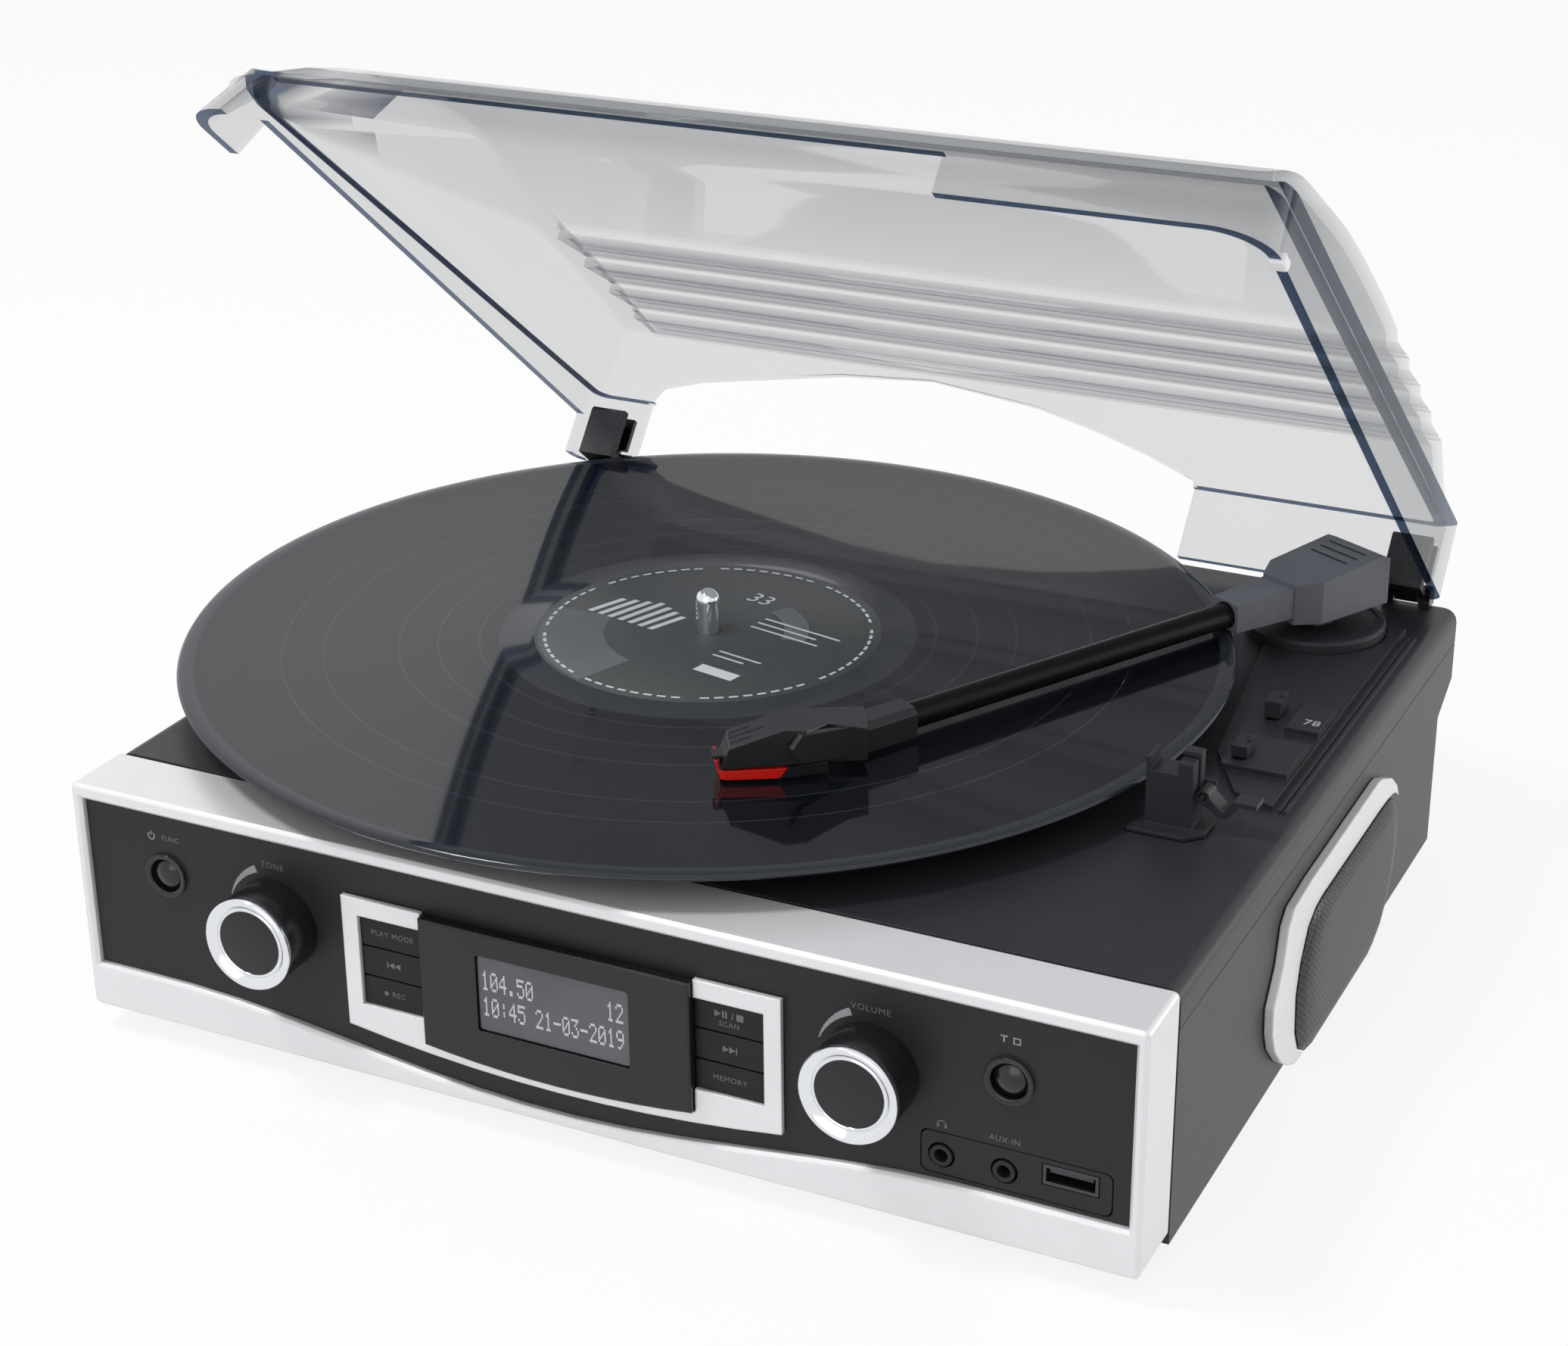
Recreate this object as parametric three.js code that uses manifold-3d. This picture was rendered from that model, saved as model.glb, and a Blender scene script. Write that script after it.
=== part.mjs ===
// Record player with a built-in radio: a shallow box with a silver front, a tinted dust cover on two
// rear hinges, a belt-driven platter that is smaller than the record it carries, and a straight arm.
// Millimetres. X points right, Y to the back, Z up. The shapes are set out from the middle of the body,
// with Z counted from the surface that the player stands on, and the whole is moved at the end.

import * as THREE from 'three';
import { mergeVertices } from 'three/addons/utils/BufferGeometryUtils.js';
import Module from 'manifold-3d';

// Driving dimensions of the whole player
const recordRadius = 150.8;
const recordMargin = 1.2;
const bodyWidth = 2 * (recordRadius + recordMargin);
const halfWidth = bodyWidth / 2;
const recordOverhang = 15.1;
const bodyDepth = 2 * (recordRadius - recordOverhang);
const halfDepth = bodyDepth / 2;
const frontHeight = 67.5;
const trayDrop = 3;
const footHeight = 4;
const wall = 2.6;
const seat = 0.3;
const overrun = 1;
const degree = Math.PI / 180;

// Body shell
const tray = {
  rearStepLow: 40.8, rearStepHigh: 48.3, rearStepDepth: 13.7, seamHeight: 60,
  speakerHole: 21, boardPostRadius: 3.5, boardPostHeight: 7, boardPostInset: 7,
};
const foot = { radius: 9, insetX: 24, insetY: 24, pinRadius: 3, pinHeight: 2 };
const deck = { plate: 3, edgeFillet: 4, skirt: 2.6, wellDepth: 6, wellGap: 4, wellRim: 2.4 };

// Silver front and the dark panel in it
const frame = {
  depth: 21.5, side: 3.1, top: 4.2, bottom: 13.2, bowDepth: 10, bowHalfWidth: halfWidth - 33, bowX: -8,
  bevel: 0.9, corner: 1.6,
};
const panel = { recess: 2, thick: 2.6, postRadius: 2.5 };
const group = { x: -4.2, z: 34 };
const bracket = { thick: 1.5, side: 4.7, gap: 0.7, top: 5, bottom: 6.9, bow: 4.8, corner: 2 };
const screen = { width: 43.4, height: 21.4, raise: 1.1, thick: 1.2, recess: 0.7, corner: 0.8 };
const key = {
  width: 18.8, height: 8.2, pitch: 8.7, proud: 0.8, thick: 3.6, travel: 1, stem: 1.5, corner: 0.8,
  rows: 3,
};
const bracketHeight = key.rows * key.pitch + bracket.top + bracket.bottom;
const bezel = {
  width: 77.7, height: bracketHeight - 1.1, thick: 3.5, bow: 2.6, corner: 2.2, rim: 1.4, bevel: 0.5,
};
const bracketWidth = bezel.width + 2 * (key.width + bracket.side + bracket.gap);
const roundKey = {
  powerX: 28.1 - halfWidth, modeX: halfWidth - 34.3, z: 45.2, ringRadius: 6.3, capRadius: 4.7,
  proud: 1.2, dome: 0.9, thick: 4,
  ringProud: 0.7, travel: 1.2, stem: 1.6,
};
const capShares = [[0, 0], [0.5, 0.25], [0.85, 0.7], [1, 1.3]];
const knob = {
  toneX: -(halfWidth - 62.6), volumeX: halfWidth - 70.1, z: 38.8, radius: 12.7, length: 11.2,
  clear: 0.7, shaft: 3, hollow: 1.6, hollowRadius: 10.2,
};
const ring = { inner: 10.6, outer: 13, thick: 1.8, bevel: 0.6 };
const board = {
  depthBehind: 9, thick: 1.6, width: bodyWidth - 42, height: 38, z: 33.5, potWidth: 15, potDepth: 6,
  postX: halfWidth - 45, postLow: 29.5, postHigh: 48.5,
};
const jack = {
  plateX: halfWidth - 32.3, plateZ: 20.4, plateWidth: 48.6, plateHeight: 11.4, plateCorner: 2,
  plateThick: 2,
};
const socket = {
  phonesX: halfWidth - 51.4, auxX: halfWidth - 35.2, z: 19.9, radius: 2.9, bore: 1.8, length: 11,
  proud: 0.4,
};
const usb = {
  x: halfWidth - 18.4, z: 21.9, width: 14, height: 5.4, rim: 0.8, length: 14, bar: 1.5, barWidth: 11,
};

// Speaker on each side
const speaker = {
  y: 14, z: 23.2, width: 105.5, height: 54.1, grilleBulge: 4.6, trimProud: 2.4,
  driverRadius: 22.8, driverDepth: 21, driverRim: 3, magnetRadius: 15, magnetDepth: 9,
  coilRadius: 9, coneDepth: 7,
};
// Shares of the speaker's width and height, from its middle, as Y and Z
const trimOuterShares = [
  [0.528, 0.235], [0.503, 0.315], [0.44, 0.41], [0.335, 0.495], [0.3, 0.505], [-0.28, 0.498],
  [-0.43, 0.475], [-0.47, 0.41], [-0.495, 0.228], [-0.558, 0.05], [-0.553, -0.09], [-0.525, -0.21],
  [-0.46, -0.34], [-0.4, -0.42], [-0.34, -0.475], [-0.315, -0.484],
];
const trimInnerShares = [
  [-0.27, -0.484], [-0.32, -0.42], [-0.36, -0.28], [-0.372, -0.06], [-0.35, 0.1], [-0.3, 0.25],
  [-0.24, 0.305], [-0.18, 0.318], [0.33, 0.318], [0.425, 0.312], [0.47, 0.298], [0.505, 0.27],
];
const grilleShares = [
  [-0.262, -0.484], [-0.31, -0.42], [-0.35, -0.28], [-0.362, -0.06], [-0.34, 0.1], [-0.29, 0.24],
  [-0.236, 0.293], [-0.18, 0.306], [0.33, 0.306], [0.42, 0.3], [0.465, 0.27], [0.5, 0.2], [0.515, 0.08],
  [0.5, -0.12], [0.46, -0.28], [0.4, -0.4], [0.33, -0.462], [0.28, -0.484],
];

// The grille's bulge, as shares of its depth and of its outline, and where the bulge is centred
const grilleLayerShares = [[0, 1], [0.55, 1], [0.85, 0.93], [1, 0.8]];
const grilleMiddleShare = 0.07;

// Turntable
const platterInset = 50.8;
const drumInset = 34;
const motorInset = 17;
const matInset = 3;
const wellInset = 18.3;
const platterRadius = recordRadius - platterInset;
const spindleX = -(halfWidth - platterRadius - wellInset);
const spindleY = 6.7;
const record = {
  radius: recordRadius, thick: 1.9, hole: 3.6, height: 10, edge: 0.5,
};
const mat = { radius: platterRadius - matInset, thick: 2.2 };
const platter = {
  radius: platterRadius, plate: 3, rim: 3, rimDrop: 6.5, drumRadius: platterRadius - drumInset,
  drumWall: 3, drumDrop: 9, hubRadius: 9, sides: 56,
};
const spindle = { radius: 3.5, above: 13, below: 24, dome: 3.2 };
const bearing = { radius: 7, flangeRadius: 11, flange: 1.5, length: 14 };
const motor = {
  radius: 17, length: 24, shaft: 1.2, distance: platterRadius - motorInset, angle: -148, boss: 5,
  pulleyRadius: 4, pulleyFlange: 5.2, pulleyHeight: 6.4, flange: 0.8,
};
const belt = { thick: 0.8, width: 4.2, clear: 0.35 };

// Arm: lengths along it are counted from its pivot, and heights from the deck
const arm = {
  pivotX: halfWidth - 33.3, pivotY: halfDepth - 33.4, angle: -28.1, tiltHeight: 14.6, tubeHeight: 15,
  tubeRadius: 3.7, tubeStart: 34, tubeEnd: 161, tubeSides: 16,
};
const armBase = {
  x: halfWidth - 34, y: halfDepth - 33.4, radius: 20.5, height: 4.7, groove: 0.5, grooveInset: 2.2,
  bevel: 0.8,
};
const yoke = {
  radius: 5, below: 14, top: 17.4, hubFront: 11.5, hubRear: 10, hubHalf: 9, hubLow: 5.1, hubHigh: 8.1,
  hubRearHigh: 7, hubFoot: 5.5, pin: 1.5, bore: 0.35,
};
const head = {
  front: 17, rear: 17, half: 11, low: 8.6, frontTop: 20.8, midTop: 21.6, rearTop: 24.2, rearEdge: 22.6,
  frontHalf: 6.6, chamfer: 7, wall: 2, cavityTop: 19,
};
const coupler = {
  start: 12, end: 38, startHalf: 6.5, endHalf: 5, startLow: 10.4, startTop: 20, endLow: 10.9,
  endTop: 19.4, bore: 0.3,
};
const collar = { start: 153.5, end: 169.5, half: 4.8, low: 11, top: 19.2, chamfer: 1.6 };
// The headshell is turned inwards on the end of the arm. Its lengths are counted from the bend.
const shell = {
  bend: 190.6, angle: -31.9, rear: -19.3, neckNear: -0.5, neckFar: -14.2, shoulder: -8.9, half: 6,
  neckLow: 12, neckTop: 21.1,
  kneeRear: -3, knee: 2.8, kneeTop: 24.5, front: 17.1, frontTop: 19.7, nose: 19.4, noseLow: 13.9, roof: 15,
  lipLeft: -0.8, lipRight: 3.7, lipEnd: 21.4, lipTop: 17, lipThick: 0.8,
  liftStart: 175.5, liftBend: 193.2, liftEnd: 196.3, liftOut: 7.4, liftThick: 1.9, liftRearTop: 21.4,
  liftTop: 23.6, liftFrontTop: 20.4, liftLow: 15.5,
};
const cartridge = { rear: -8.6, rearHalf: 3.6, half: 5.7, low: 10.8, frontTop: 1.6, frontLow: 3.5 };
const stylus = {
  rearTop: 2.1, rearLow: 4.1, front: 19.4, low: 10.8, lipFront: 20.9, lipTop: 15.8, lipThick: 0.8,
  half: 5.8, corner: 1.6, tip: 15.7, tipRadius: 0.6, tipGap: 0.3,
};

// Arm rest, its clip, and the slide switches
const rest = {
  left: halfWidth - 36.6, right: halfWidth - 24.1, front: halfDepth - 173.9, rear: halfDepth - 165.7,
  low: 8.5, floor: 16.1, wallTop: 19.8, wall: 1, prongLeft: halfWidth - 28.1, prongTop: 19.6,
  prongRear: halfDepth - 169.7,
  plateLeft: halfWidth - 39.6, plateRight: halfWidth - 20.1, plateFront: halfDepth - 178.9,
  plateThick: 1, plateChamfer: 4.2, earRear: halfDepth - 164.1, earRight: halfWidth - 20.6, earTop: 12,
  shaftRight: halfWidth - 25.7,
};
const clip = {
  axisX: halfWidth - 22.2, axisZ: 10, pin: 0.8, hub: 1.9, left: halfWidth - 25.4,
  right: halfWidth - 23.6, hookLeft: halfWidth - 28.4, top: 21, thick: 1.4, front: halfDepth - 169.4,
  leverFront: halfDepth - 171.7, rear: halfDepth - 165.7,
  lowX: halfWidth - 16.8, lowZ: 5.6, padX: halfWidth - 13, padEnd: halfWidth - 7.8, padZ: 10.4,
};
const platform = { rise: 1.5, padRise: 3.2 };
const platformPlaces = {
  leftX: halfWidth - 32.8, leftY: halfDepth - 126.3, frontX: halfWidth - 21.1,
  frontY: halfDepth - 147.8, rightX: halfWidth - 9.4, frontRightY: halfDepth - 152.3,
  backY: halfDepth - 23.7, backX: halfWidth - 44, backLeftY: halfDepth - 48.7,
};
const autostop = {
  x: halfWidth - 28.8, endX: halfWidth - 10.6, y: halfDepth - 136.3, endY: halfDepth - 115.7,
  knobX: halfWidth - 25.2, knobY: halfDepth - 128.1,
};
const speed = {
  x: halfWidth - 20, endX: halfWidth - 10.6, y: halfDepth - 107.9, endY: halfDepth - 89.7,
  knobX: halfWidth - 25.8, knobY: halfDepth - 97.1,
};
const slider = {
  width: 4.4, depth: 7.6, height: 6.4, plinth: 0.6, stem: 2.4, gripWidth: 1.2, slotY: 3.4,
  travel: 3, flange: 1.4,
};
const ridge = { width: 1, rise: 0.8, gap: 1.6, startY: halfDepth - 152.7, endY: halfDepth - 27.7 };

// Rear sockets and inner boards
const rearPlateShare = 0.46;
const rearPlate = {
  x: -rearPlateShare * halfWidth, width: 62, height: 18, z: 22, thick: 1.8,
  dcX: -22, lineX: 10, linePitch: 14,
  lineRadius: 4.6, lineBore: 1.7, dcRadius: 4.4, dcBore: 1.9, length: 9, proud: 5, corner: 1.5,
};
const mainBoard = {
  x: -20, y: 40, width: 130, depth: 90, thick: 1.6, chipWidth: 24, chipHeight: 3, canRadius: 6,
  canHeight: 16, sinkHeight: 18, sinkThick: 4, sinkWidth: 40,
};

// Dust cover: U runs from the rear wall forward along its rim, V up from the rim
const lid = {
  length: bodyDepth - 13.4, halfWidth: halfWidth - 3.5, wall: 2.8, height: 48, openAngle: 39.6,
  rimGap: 1.2, rimY: halfDepth - 5.4, rearLift: 4,
  ledgeFront: 16, ledgeRear: 23.6, lipDrop: 4, lipLength: 8, inset: 2, sideInset: 3.6, domeLeft: 18,
  domeRight: 6, cornerFront: 15, cornerRear: 6, taper: 6.5, taperStart: 22, ledgeSkin: 1.4,
  slopeStart: 12, frontRise: 14,
};
// How much the radius of the front left corner grows for each millimetre up, and the directions in
// which planes round it off: of the skirt, and of the dome
const lidGrowthShares = { skirt: 1.37, dome: 6 };
const lidCornerAngles = { skirt: [15, 30, 45, 60, 75], dome: [25, 45, 65] };
const lidTopShares = [
  [0.961, 0.412], [0.884, 0.578], [0.767, 0.73], [0.636, 0.88], [0.481, 0.972], [0.349, 1], [0.194, 1],
  [0.039, 0.952],
];
const lidTopSteps = 21;
const lidRearShare = { foot: 0.008, ledge: 0.48 };
const louvre = {
  first: 91, pitch: 20.3, count: 4, drop: 3.4, settle: 1, left: -(halfWidth - 24.5), top: 47.6,
};
const cutFront = {
  leftLow: -(halfWidth - 18), leftHigh: -(halfWidth - 29.4), slant: 8, right: halfWidth - 85,
  height: 10.5,
};
const cutLeft = { rear: 8, height: 13.7, frontHigh: lid.length - 36, frontLow: lid.length - 28 };
const arch = {
  left: -(halfWidth - 26.4), right: halfWidth - 86, rightRise: 24, sideRise: 22.4, height: 43,
  reach: 13.2,
};
const archShares = [
  [-0.632, 0.651], [-0.56, 0.74], [-0.47, 0.807], [-0.3, 0.93], [-0.136, 0.985], [0.057, 0.905],
  [0.16, 0.81], [0.254, 0.7], [0.337, 0.575],
];
const hinge = {
  x: halfWidth - 15, rise: 2.5, radius: 2.8, pin: 1.1, pinGap: 0.3, earWidth: 3.4, barrelWidth: 7,
  earGap: 0.3, height: 17,
  clipWidth: 12, innerThick: 5.4, outerThick: 2, notch: 3, clipGap: 0.3,
};

// Places that follow from the sizes above
const frontY = -bodyDepth / 2;
const backY = bodyDepth / 2;
const trayZ = footHeight;
const frontZ = trayZ + trayDrop;
const deckZ = frontZ + frontHeight;
const stripY = frontY + frame.depth;
const panelY = frontY + panel.recess;
const boardY = panelY + board.depthBehind;
const wellRadius = platter.radius + deck.wellGap;
const wellZ = deckZ - deck.wellDepth;
const seamZ = frontZ + tray.seamHeight - trayDrop;

const materials = {
  bodyPlastic: new THREE.MeshStandardMaterial({ color: 0x2b2c30, roughness: 0.6, metalness: 0 }),
  silver: new THREE.MeshStandardMaterial({ color: 0xc9cbce, roughness: 0.38, metalness: 0.35 }),
  panelBlack: new THREE.MeshStandardMaterial({ color: 0x17181b, roughness: 0.4, metalness: 0 }),
  glossBlack: new THREE.MeshStandardMaterial({ color: 0x0c0c0f, roughness: 0.15, metalness: 0 }),
  chrome: new THREE.MeshStandardMaterial({ color: 0xd8dadd, roughness: 0.12, metalness: 1 }),
  screenGlass: new THREE.MeshStandardMaterial({ color: 0x45474d, roughness: 0.1, metalness: 0 }),
  mesh: new THREE.MeshStandardMaterial({ color: 0x36373a, roughness: 0.5, metalness: 0.4 }),
  rubber: new THREE.MeshStandardMaterial({ color: 0x141416, roughness: 0.85, metalness: 0 }),
  vinyl: new THREE.MeshStandardMaterial({ color: 0x101114, roughness: 0.2, metalness: 0 }),
  steel: new THREE.MeshStandardMaterial({ color: 0x9a9c9f, roughness: 0.35, metalness: 0.9 }),
  boardGreen: new THREE.MeshStandardMaterial({ color: 0x1f4a33, roughness: 0.5, metalness: 0 }),
  cover: new THREE.MeshStandardMaterial(
    { color: 0xb9bdc2, roughness: 0.08, metalness: 0, transparent: true, opacity: 0.4 },
  ),
  red: new THREE.MeshStandardMaterial({ color: 0xd81a10, roughness: 0.35, metalness: 0 }),
  paper: new THREE.MeshStandardMaterial({ color: 0x2a2b2e, roughness: 0.8, metalness: 0 }),
};

const wasm = await Module();
wasm.setup();

// Turns a closed three.js geometry into a solid that can be joined and cut
function solid(geometry) {
  const bare = (geometry.index ? geometry.toNonIndexed() : geometry).clone();
  bare.deleteAttribute('normal');
  bare.deleteAttribute('uv');
  const merged = mergeVertices(bare, 1e-4);
  return new wasm.Manifold(new wasm.Mesh({
    numProp: 3,
    vertProperties: new Float32Array(merged.attributes.position.array),
    triVerts: new Uint32Array(merged.index.array),
  }));
}

function geometryOf(body) {
  const mesh = body.getMesh();
  const geometry = new THREE.BufferGeometry();
  const places = new Float32Array((mesh.vertProperties.length / mesh.numProp) * 3);
  for (let i = 0; i < places.length / 3; i += 1) {
    for (
      let axis = 0; axis < 3; axis += 1
    ) places[i * 3 + axis] = mesh.vertProperties[i * mesh.numProp + axis];
  }
  geometry.setAttribute('position', new THREE.BufferAttribute(places, 3));
  geometry.setIndex(new THREE.BufferAttribute(new Uint32Array(mesh.triVerts), 1));
  return geometry;
}

const join = (first, ...others) => others.reduce((sum, other) => sum.add(other), first);
const cut = (first, ...others) => others.reduce((rest_, other) => rest_.subtract(other), first);
const common = (first, ...others) => others.reduce((shared, other) => shared.intersect(other), first);

// Shapes
function outline(points) {
  return new THREE.Shape(points.map(([a, b]) => new THREE.Vector2(a, b)));
}

function roundedRect(width, height, radius, x = 0, y = 0) {
  const [w, h] = [width / 2, height / 2];
  const shape = new THREE.Shape();
  shape.moveTo(x - w + radius, y - h);
  shape.lineTo(x + w - radius, y - h);
  shape.absarc(x + w - radius, y - h + radius, radius, -Math.PI / 2, 0);
  shape.lineTo(x + w, y + h - radius);
  shape.absarc(x + w - radius, y + h - radius, radius, 0, Math.PI / 2);
  shape.lineTo(x - w + radius, y + h);
  shape.absarc(x - w + radius, y + h - radius, radius, Math.PI / 2, Math.PI);
  shape.lineTo(x - w, y - h + radius);
  shape.absarc(x - w + radius, y - h + radius, radius, Math.PI, Math.PI * 1.5);
  return shape;
}

// Extrudes a shape along one axis of the player. The shape's own two axes become the other two:
// along X they are Y and Z, along Y they are X and Z, and along Z they are X and Y.
const axesAlong = {
  x: new THREE.Matrix4().set(0, 0, 1, 0, 1, 0, 0, 0, 0, 1, 0, 0, 0, 0, 0, 1),
  y: new THREE.Matrix4().set(1, 0, 0, 0, 0, 0, -1, 0, 0, 1, 0, 0, 0, 0, 0, 1),
  z: new THREE.Matrix4(),
};

function prism(axis, shape, low, high, { bevel = 0, segments = 2, bevelSegments = 1 } = {}) {
  const geometry = new THREE.ExtrudeGeometry(shape, {
    depth: high - low - 2 * bevel,
    bevelEnabled: bevel > 0,
    bevelThickness: bevel,
    bevelSize: bevel,
    bevelOffset: -bevel,
    bevelSegments,
    curveSegments: segments,
  });
  geometry.translate(0, 0, bevel + (axis === 'y' ? -high : low));
  geometry.applyMatrix4(axesAlong[axis]);
  return solid(geometry);
}

function block(x0, x1, y0, y1, z0, z1) {
  const geometry = new THREE.BoxGeometry(x1 - x0, y1 - y0, z1 - z0);
  geometry.translate((x0 + x1) / 2, (y0 + y1) / 2, (z0 + z1) / 2);
  return solid(geometry);
}

// A round rod along an axis, from low to high on it, with the other two coordinates of its middle
function rod(axis, radius, low, high, a, b, sides = 24) {
  const geometry = new THREE.CylinderGeometry(radius, radius, high - low, sides);
  const middle = (low + high) / 2;
  if (axis === 'x') geometry.rotateZ(Math.PI / 2).translate(middle, a, b);
  if (axis === 'y') geometry.translate(a, middle, b);
  if (axis === 'z') geometry.rotateX(Math.PI / 2).translate(a, b, middle);
  return solid(geometry);
}

// A turned piece about Z: the profile holds pairs of radius and height
function turned(profile, sides = 48, x = 0, y = 0) {
  const geometry = new THREE.LatheGeometry(profile.map(([r, z]) => new THREE.Vector2(r, z)), sides);
  geometry.rotateX(Math.PI / 2);
  geometry.translate(x, y, 0);
  return solid(geometry);
}

// The same outline drawn inside itself at a distance. The points run against the clock when seen from the
// front.
function inset(points, distance) {
  const count = points.length;
  const area = points.reduce((sum, [x, y], i) => {
    const [u, v] = points[(i + 1) % count];
    return sum + x * v - u * y;
  }, 0);
  const side = Math.sign(area);
  const lines = points.map(([x, y], i) => {
    const [u, v] = points[(i + 1) % count];
    const length = Math.hypot(u - x, v - y);
    const normal = [(-(v - y) / length) * side, ((u - x) / length) * side];
    return {
      x: x + normal[0] * distance, y: y + normal[1] * distance, dx: (u - x) / length,
      dy: (v - y) / length,
    };
  });
  return lines.map((line, i) => {
    const before = lines[(i + count - 1) % count];
    const cross = before.dx * line.dy - before.dy * line.dx;
    if (Math.abs(cross) < 1e-6) return [line.x, line.y];
    const t = ((line.x - before.x) * line.dy - (line.y - before.y) * line.dx) / cross;
    return [before.x + before.dx * t, before.y + before.dy * t];
  });
}

const player = new THREE.Group();
function place(name, body, material, parent = player, position = [0, 0, 0]) {
  const mesh = new THREE.Mesh(body.isBufferGeometry ? body : geometryOf(body), material);
  mesh.name = name;
  mesh.position.set(...position);
  parent.add(mesh);
  return mesh;
}

// The bowed lower edge of the front opening, as X and Z, from left to right
function bowHeight(x, clearance = 0) {
  const reach = (x - frame.bowX) / frame.bowHalfWidth;
  const bow = Math.abs(reach) < 1 ? frame.bowDepth * 0.5 * (1 + Math.cos(Math.PI * reach)) : 0;
  return frontZ + frame.bottom - bow + clearance;
}

function openingShape(clearance) {
  const left = -halfWidth + frame.side + clearance;
  const right = halfWidth - frame.side - clearance;
  const top = deckZ - frame.top - clearance;
  const steps = 20;
  const points = [];
  for (let i = 0; i <= steps; i += 1) {
    const x = left + ((right - left) * i) / steps;
    points.push([x, bowHeight(x, clearance)]);
  }
  points.push([right, top], [left, top]);
  return points;
}

// Lower shell: floor, side walls and a stepped rear wall, open at the front and at the top
function makeTray() {
  const top = seamZ - seat / 2;
  const y0 = stripY + seat;
  const low = trayZ;
  const stepY = backY - tray.rearStepDepth;
  const outer = [
    [y0, low], [stepY, low], [stepY, low + tray.rearStepLow], [backY, low + tray.rearStepHigh],
    [backY, top], [y0, top],
  ];
  const inner = [
    [y0 - overrun, low + wall], [stepY - wall, low + wall],
    [stepY - wall, low + tray.rearStepLow + wall / 2], [backY - wall, low + tray.rearStepHigh + wall / 2],
    [backY - wall, top + overrun], [y0 - overrun, top + overrun],
  ];
  let body = cut(
    prism('x', outline(outer), -halfWidth, halfWidth),
    prism('x', outline(inner), -halfWidth + wall, halfWidth - wall),
  );
  const floorEnd = panelY + panel.thick + wall;
  const floor = block(
    -halfWidth + frame.side, halfWidth - frame.side, floorEnd, y0 + wall, low, low + trayDrop - seat,
  );
  body = join(body, floor);
  for (const side of [-1, 1]) {
    const x0 = side > 0 ? halfWidth - wall - overrun : -halfWidth - overrun;
    body = cut(
      body, rod('x', tray.speakerHole, x0, x0 + wall + 2 * overrun, speaker.y, frontZ + speaker.z, 24),
    );
    for (const back of [-1, 1]) {
      const [x, y] = [side * (halfWidth - foot.insetX), back > 0 ? stepY - foot.insetY : y0 + foot.insetY];
      body = cut(body, rod('z', foot.pinRadius + 2 * seat, low - overrun, low + wall + overrun, x, y, 12));
      const post = boardPost(side, back);
      body = join(
        body,
        rod(
          'z', tray.boardPostRadius, low + wall / 2, low + wall + tray.boardPostHeight, post[0], post[1],
          8,
        ),
      );
    }
  }
  const slot = prism(
    'y',
    roundedRect(rearPlate.width, rearPlate.height, rearPlate.corner, rearPlate.x, frontZ + rearPlate.z),
    stepY - wall - overrun, stepY + overrun,
  );
  return cut(body, slot);
}

function boardPost(side, back) {
  const dx = mainBoard.width / 2 - tray.boardPostInset;
  const dy = mainBoard.depth / 2 - tray.boardPostInset;
  return [mainBoard.x + side * dx, mainBoard.y + back * dy];
}

function makeFoot() {
  return turned(
    [
      [0, 0], [foot.radius - seat, 0], [foot.radius, seat], [foot.radius, footHeight - seat],
      [foot.pinRadius, footHeight - seat], [foot.pinRadius, footHeight + foot.pinHeight],
      [0, footHeight + foot.pinHeight],
    ],
    16,
  );
}

// Silver front: a deep rectangular ring with soft edges and a bowed lower rail
function makeFrame() {
  const shape = roundedRect(bodyWidth, frontHeight, frame.corner, 0, frontZ + frontHeight / 2);
  shape.holes.push(new THREE.Path(openingShape(0).map(([x, z]) => new THREE.Vector2(x, z))));
  return prism('y', shape, frontY, stripY, { bevel: frame.bevel });
}

// Dark panel with its openings, a raised ring round each round key, and posts for the board behind it
function makePanel() {
  const y1 = panelY + panel.thick;
  let body = prism('y', outline(openingShape(seat)), panelY, y1);
  const through = (shape) => prism('y', shape, panelY - overrun, y1 + overrun);
  for (const side of [-1, 1]) {
    const keyX = group.x + side * (bezel.width / 2 + seat + key.width / 2);
    const keyHole = roundedRect(
      key.width + 2 * seat, key.pitch * (key.rows - 1) + key.height + 2 * seat, key.corner, keyX, keysZ(),
    );
    body = cut(body, through(keyHole));
    const x = side < 0 ? roundKey.powerX : roundKey.modeX;
    const z = frontZ + roundKey.z;
    body = join(body, rod('y', roundKey.ringRadius, panelY - roundKey.ringProud, panelY + overrun, x, z, 20));
    body = cut(body, rod('y', roundKey.capRadius + 2 * seat, panelY - 2 * overrun, y1 + overrun, x, z, 20));
    const knobX = side < 0 ? knob.toneX : knob.volumeX;
    body = cut(
      body, rod('y', knob.shaft + 2 * seat, panelY - overrun, y1 + overrun, knobX, frontZ + knob.z, 12),
    );
    for (const height of [board.postLow, board.postHigh]) {
      body = join(
        body,
        rod(
          'y', panel.postRadius, y1 - overrun, boardY - seat, group.x + side * board.postX,
          frontZ + height, 8,
        ),
      );
    }
  }
  body = cut(
    body,
    through(
      roundedRect(
        screen.width - 2 * bezel.rim, screen.height - 2 * bezel.rim, screen.corner, group.x, screenZ(),
      ),
    ),
  );
  return cut(
    body,
    through(
      roundedRect(
        jack.plateWidth + 2 * seat, jack.plateHeight + 2 * seat, jack.plateCorner, jack.plateX,
        frontZ + jack.plateZ,
      ),
    ),
  );
}

const keysZ = () => frontZ + group.z + bracketHeight / 2 - bracket.top - (
  key.pitch * (key.rows - 1) + key.height
) / 2 - seat;
const screenZ = () => frontZ + group.z + screen.raise;

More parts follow.
